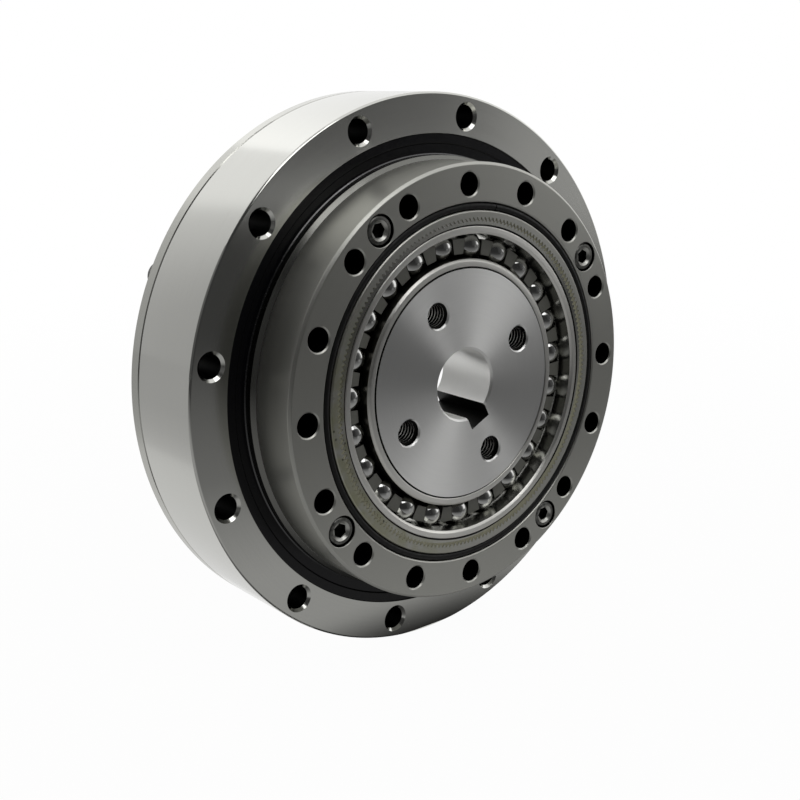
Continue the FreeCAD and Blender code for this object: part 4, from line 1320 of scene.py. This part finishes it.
class GEARBOX_OT_bearing(bpy.types.Operator):
    """Flexible bearing: two oval races, balls and crown cage"""

    bl_idname = "gearbox.bearing"
    bl_label = "Flexible bearing"

    def execute(self, context):
        s = sizes()
        inner_track = s.plug_radius + s.race_wall
        inner = self.race("flex_inner_race", s.plug_radius, inner_track, shade_darkened_track_steel())
        place_piece(inner, "wave_generator", "race_steel", "flex_inner_race")
        outer_track = s.rim_bore - s.race_wall
        outer = self.race("flex_outer_race", s.rim_bore, outer_track, wiped_track_steel())
        place_piece(outer, "housing", "race_steel", "flex_outer_race")
        balls = merged_copy("flex_balls", "flex_balls_lapped")
        coat(balls, lapped_ball_steel())
        place_piece(balls, "ball_set", "ball_steel", "flex_balls")
        place_piece(self.cage(), "ball_set", "cage_plastic", "flex_cage")
        return {"FINISHED"}

    def race(self, node, back_radius, track_radius, track_steel):
        """Thin race with a ball track on the side that faces the balls, pushed to the wave's oval."""
        s = sizes()
        face = front(node)
        end = back(node)
        centre = middle("flex_balls")
        track = s.ball_radius + s.track_play
        towards = math.copysign(1, track_radius - s.ball_circle)
        half = math.sqrt(track ** 2 - (track_radius - s.ball_circle) ** 2)
        widest = math.asin(half / track)
        edge = s.race_edge
        lead = s.track_edge
        outline = [(back_radius, face + edge), (back_radius - towards * edge, face),
                   (track_radius + towards * lead, face), (track_radius, face + lead)]
        for step in range(TRACK_STEPS + 1):
            swing = widest * (2 * step / TRACK_STEPS - 1)
            outline.append((s.ball_circle + towards * track * math.cos(swing),
                            centre + track * math.sin(swing)))
        outline += [(track_radius, end), (back_radius, end)]
        race = turned(node + "_ground", outline)
        coat(race, ground_race_steel(), track_steel)
        soften(race, s.softness)
        for side in race.data.polygons:
            outwards = Vector((side.center.x, 0, side.center.z)).normalized()
            facing_balls = -towards * outwards.dot(side.normal) > MOSTLY
            side.material_index = int(facing_balls and side.center.y > face + lead)
        bend_to_wave(race)
        return race

    def cage(self):
        """Crown cage: a ring with a pocket for each ball, open to the front."""
        s = sizes()
        plastic = moulded_cage_plastic()
        low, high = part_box("flex_cage")
        half = high.x - s.ball_circle
        ring = turned("flex_cage_moulded", [
            (s.ball_circle - half, low.y),
            (s.ball_circle + half, low.y),
            (s.ball_circle + half, high.y),
            (s.ball_circle - half, high.y),
        ])
        coat(ring, plastic)
        soften(ring, 2 * s.softness)
        centre = middle("flex_balls")
        pocket = turned("pocket_tool", [
            (0, s.ball_circle - 2 * half),
            (s.pocket_radius, s.ball_circle - 2 * half),
            (s.pocket_radius, s.ball_circle + 2 * half),
            (0, s.ball_circle + 2 * half),
        ], HOLE_STEPS)
        coat(pocket, plastic)
        pocket.data.transform(Matrix.Rotation(-math.pi / 2, 4, "Z"))
        pocket.data.transform(Matrix.Translation((0, centre, 0)))
        cut_away(ring, ring_of(pocket, s.balls, math.degrees(s.ball_angle)))
        return ring


class GEARBOX_OT_grease(bpy.types.Operator):
    """Grease that fills the gaps between the teeth, and a dark sheet of painted shade at the back of the
    flexible bearing
    """

    bl_idname = "gearbox.grease"
    bl_label = "Grease"

    def execute(self, context):
        s = sizes()
        rim = (s.rim_bore + s.barrel_wall, front("flex_outer_race"))
        ring = (s.module * (s.teeth / 2 + 1 + 2 * DEDENDUM), front("circular_spline"))
        teeth = self.fill("tooth_grease", rim, ring, smeared_tooth_grease())
        self.sink(teeth, rim[1] + s.grease_and_shade_wall / 2)
        place_piece(teeth, "housing")
        inner = (s.plug_radius + s.plug_step + s.shade_sheet_margin, back("flex_cage"))
        outer = (s.rim_bore - s.race_wall - s.shade_sheet_margin, back("flex_cage"))
        # A near-black sheet behind the balls paints shade where the bearing is dark inside.
        place_piece(self.fill("painted_shade_sheet", inner, outer, shade_sheet_behind_balls()), "housing")
        return {"FINISHED"}

    def fill(self, name, inner, outer, grease):
        """Ring of grease, or of painted shade, whose face runs from an inner to an outer (radius, depth)."""
        end = inner[1] + sizes().grease_and_shade_wall
        fill = turned(name, [inner, outer, (outer[0], end), (inner[0], end)])
        coat(fill, grease)
        return fill

    def sink(self, fill, limit):
        """Sink the face of a ring of grease, most on one side."""
        depth = sizes().grease_depth
        for vertex in fill.data.vertices:
            if vertex.co.y < limit:
                towards = Vector((vertex.co.x, 0, vertex.co.z)).normalized().dot(GREASE_SUNK)
                vertex.co.y += depth * (1 + towards) / 2


class GEARBOX_OT_stage(bpy.types.Operator):
    """Camera, pale floor, soft lamps and the cards that the steel reflects"""

    bl_idname = "gearbox.stage"
    bl_label = "Studio"

    def execute(self, context):
        scene = context.scene
        scene.view_settings.view_transform = "Standard"
        self.camera(scene)
        self.world(scene)
        self.floor()
        low = CAD_BOX[0].z + CARD_LIFT
        flat = (0, 0, 0)
        flat_from_right = (0, 0, 90)
        upright = (90, 0, 0)
        upright_from_right = (0, 90, 90)
        facing_right = (90, 0, 90)
        # The front floor's glow drops to near black at its near edge: a painted shadow under the gearbox's
        # edge, seen only in the steel.
        front_floor = ((0, 0.055), (0.743, 0.055), (0.897, 0.2), (0.956, 0.4), (0.983, 0.4), (0.995, 0.03))
        self.card("front_floor_card", (-0.45, -0.548, low), flat, (1.8, 1.104), front_floor)
        self.card("right_floor_card", (1.05, -0.55, low), flat, (1.2, 1.1), ((0, 0.38), (1, 0.38)))
        left_floor = ((0, 0.82), (0.019, 0.76), (0.044, 0.73), (0.056, 0.7), (0.058, 0.58), (0.079, 0.5),
                      (0.113, 0.46))
        self.card("left_floor_card", (-0.614, 0.5, low), flat_from_right, (1.0, 1.172), left_floor)
        front_wall = ((0, 0.4), (0.307, 0.37), (0.379, 0.22), (0.443, 0.145), (0.571, 0.1), (1, 0.07))
        self.card("front_wall_card", (0.9, -1.1, 0.5), upright_from_right, (1.12, 1.4), front_wall)
        self.card("camera_wall_card", (-0.65, -1.1, 0.62), upright, (1.7, 1.36), ((0, 0.04), (1, 0.04)))
        self.card("camera_ceiling_card", (-0.7, -0.7, 1.3), flat, (1.6, 0.8), ((0, 0.06), (1, 0.06)))
        self.card("left_wall_card", (-1.4, -0.05, 0.62), facing_right, (2.1, 1.36), ((0, 0.08), (1, 0.2)))
        back_wall = ((0, 0.9), (0.178, 1.05), (0.267, 1.2), (0.382, 1.45), (0.395, 1.45), (0.397, 1.08),
                     (0.541, 1.12), (0.543, 0.8), (0.607, 0.7), (0.674, 0.47), (1, 0.45))
        self.card("back_wall_card", (-0.15, 1.0, 1.04), upright_from_right, (2.2, 2.7), back_wall)
        self.lamp("top_lamp", (-0.1, -0.55, 0.85), span=0.5, power=1.8)
        self.lamp("right_lamp", (0.72, -0.26, 0.2), span=0.44, power=0.25)
        return {"FINISHED"}

    def camera(self, scene):
        """Camera at the photograph's viewing angle, aimed past the middle of the output face."""
        azimuth = math.radians(-39.941)
        elevation = math.radians(14.684)
        away = Vector((math.sin(azimuth) * math.cos(elevation), -math.cos(azimuth) * math.cos(elevation),
                       math.sin(elevation)))
        facing = (-away).to_track_quat("-Z", "Y")
        data = bpy.data.cameras.new("camera")
        data.lens = 53.896
        data.clip_start = 0.01
        camera = bpy.data.objects.new("camera", data)
        scene.collection.objects.link(camera)
        camera.rotation_euler = facing.to_euler()
        offset = facing @ Vector((-13.668 * MM, -2.708 * MM, 230.975 * MM))
        camera.location = Vector((0, front("circular_spline"), 0)) + offset
        scene.camera = camera

    def world(self, scene):
        """White surroundings for what is seen or mirrored, and a softer fill for the rest."""
        world = bpy.data.worlds.new("studio")
        world.use_nodes = True
        scene.world = world
        tree = world.node_tree
        strength = add(tree, "ShaderNodeMapRange", inputs={
            "Value": seen_or_mirrored(tree), "To Min": FILL, "To Max": 1.0,
        })
        connect(tree, tree.nodes["Background"], {"Color": (1, 1, 1, 1), "Strength": strength.outputs[0]})

    def floor(self):
        """Pale paper floor that keeps the gearbox's shadow."""
        floor = started("floor", bpy.ops.mesh.primitive_plane_add, size=FLOOR_SPAN)
        floor.data.transform(Matrix.Translation((0, 0, CAD_BOX[0].z)))
        floor.data.materials.append(white_paper())

    def card(self, name, place, tilt, span, shades):
        """Card that is seen only as a reflection, shaded along its second side."""
        card = started(name, bpy.ops.mesh.primitive_plane_add, size=1)
        card.data.transform(Matrix.Diagonal((*span, 1, 1)))
        for axis, degrees in zip("XYZ", tilt):
            card.data.transform(Matrix.Rotation(math.radians(degrees), 4, axis))
        card.data.transform(Matrix.Translation(place))
        card.data.materials.append(grey_card(name, shades))
        card.visible_camera = False
        card.visible_diffuse = False
        card.visible_shadow = False

    def lamp(self, name, place, span, power):
        """Square soft lamp aimed at the gearbox."""
        data = bpy.data.lights.new(name, "AREA")
        data.size = span
        data.energy = power
        lamp = bpy.data.objects.new(name, data)
        lamp.location = place
        lamp.rotation_euler = (-Vector(place)).to_track_quat("-Z", "Y").to_euler()
        bpy.context.scene.collection.objects.link(lamp)


class GEARBOX_PT_panel(bpy.types.Panel):
    """Lists the gearbox's pieces, sizes and colours"""

    bl_idname = "GEARBOX_PT_panel"
    bl_label = "Strain wave gearbox"
    bl_space_type = "VIEW_3D"
    bl_region_type = "UI"
    bl_category = "Gearbox"

    def draw(self, context):
        for step in STEPS:
            self.layout.operator(step.bl_idname)
        for group in (context.scene.gearbox_sizes, context.scene.gearbox_colours):
            box = self.layout.box()
            for name in group.__annotations__:
                box.prop(group, name)


STEPS = (
    GEARBOX_OT_stage,
    GEARBOX_OT_housing,
    GEARBOX_OT_flexspline,
    GEARBOX_OT_output_ring,
    GEARBOX_OT_inner_ring,
    GEARBOX_OT_seal,
    GEARBOX_OT_face_ring,
    GEARBOX_OT_screws,
    GEARBOX_OT_plug,
    GEARBOX_OT_bearing,
    GEARBOX_OT_grease,
)
CLASSES = (GearboxSizes, GearboxColours, *STEPS, GEARBOX_PT_panel)


def register():
    """Register the classes and hang the settings on the scene."""
    for item in CLASSES:
        bpy.utils.register_class(item)
    bpy.types.Scene.gearbox_sizes = PointerProperty(type=GearboxSizes)
    bpy.types.Scene.gearbox_colours = PointerProperty(type=GearboxColours)


def unregister():
    """Take the settings off the scene and unregister the classes."""
    del bpy.types.Scene.gearbox_colours
    del bpy.types.Scene.gearbox_sizes
    for item in reversed(CLASSES):
        bpy.utils.unregister_class(item)


def main():
    """Register the classes, then build the stage and every piece."""
    register()
    bpy.ops.gearbox.stage()
    bpy.ops.gearbox.housing()
    bpy.ops.gearbox.flexspline()
    bpy.ops.gearbox.output_ring()
    bpy.ops.gearbox.inner_ring()
    bpy.ops.gearbox.seal()
    bpy.ops.gearbox.face_ring()
    bpy.ops.gearbox.screws()
    bpy.ops.gearbox.plug()
    bpy.ops.gearbox.bearing()
    bpy.ops.gearbox.grease()


if __name__ == "__main__":
    main()
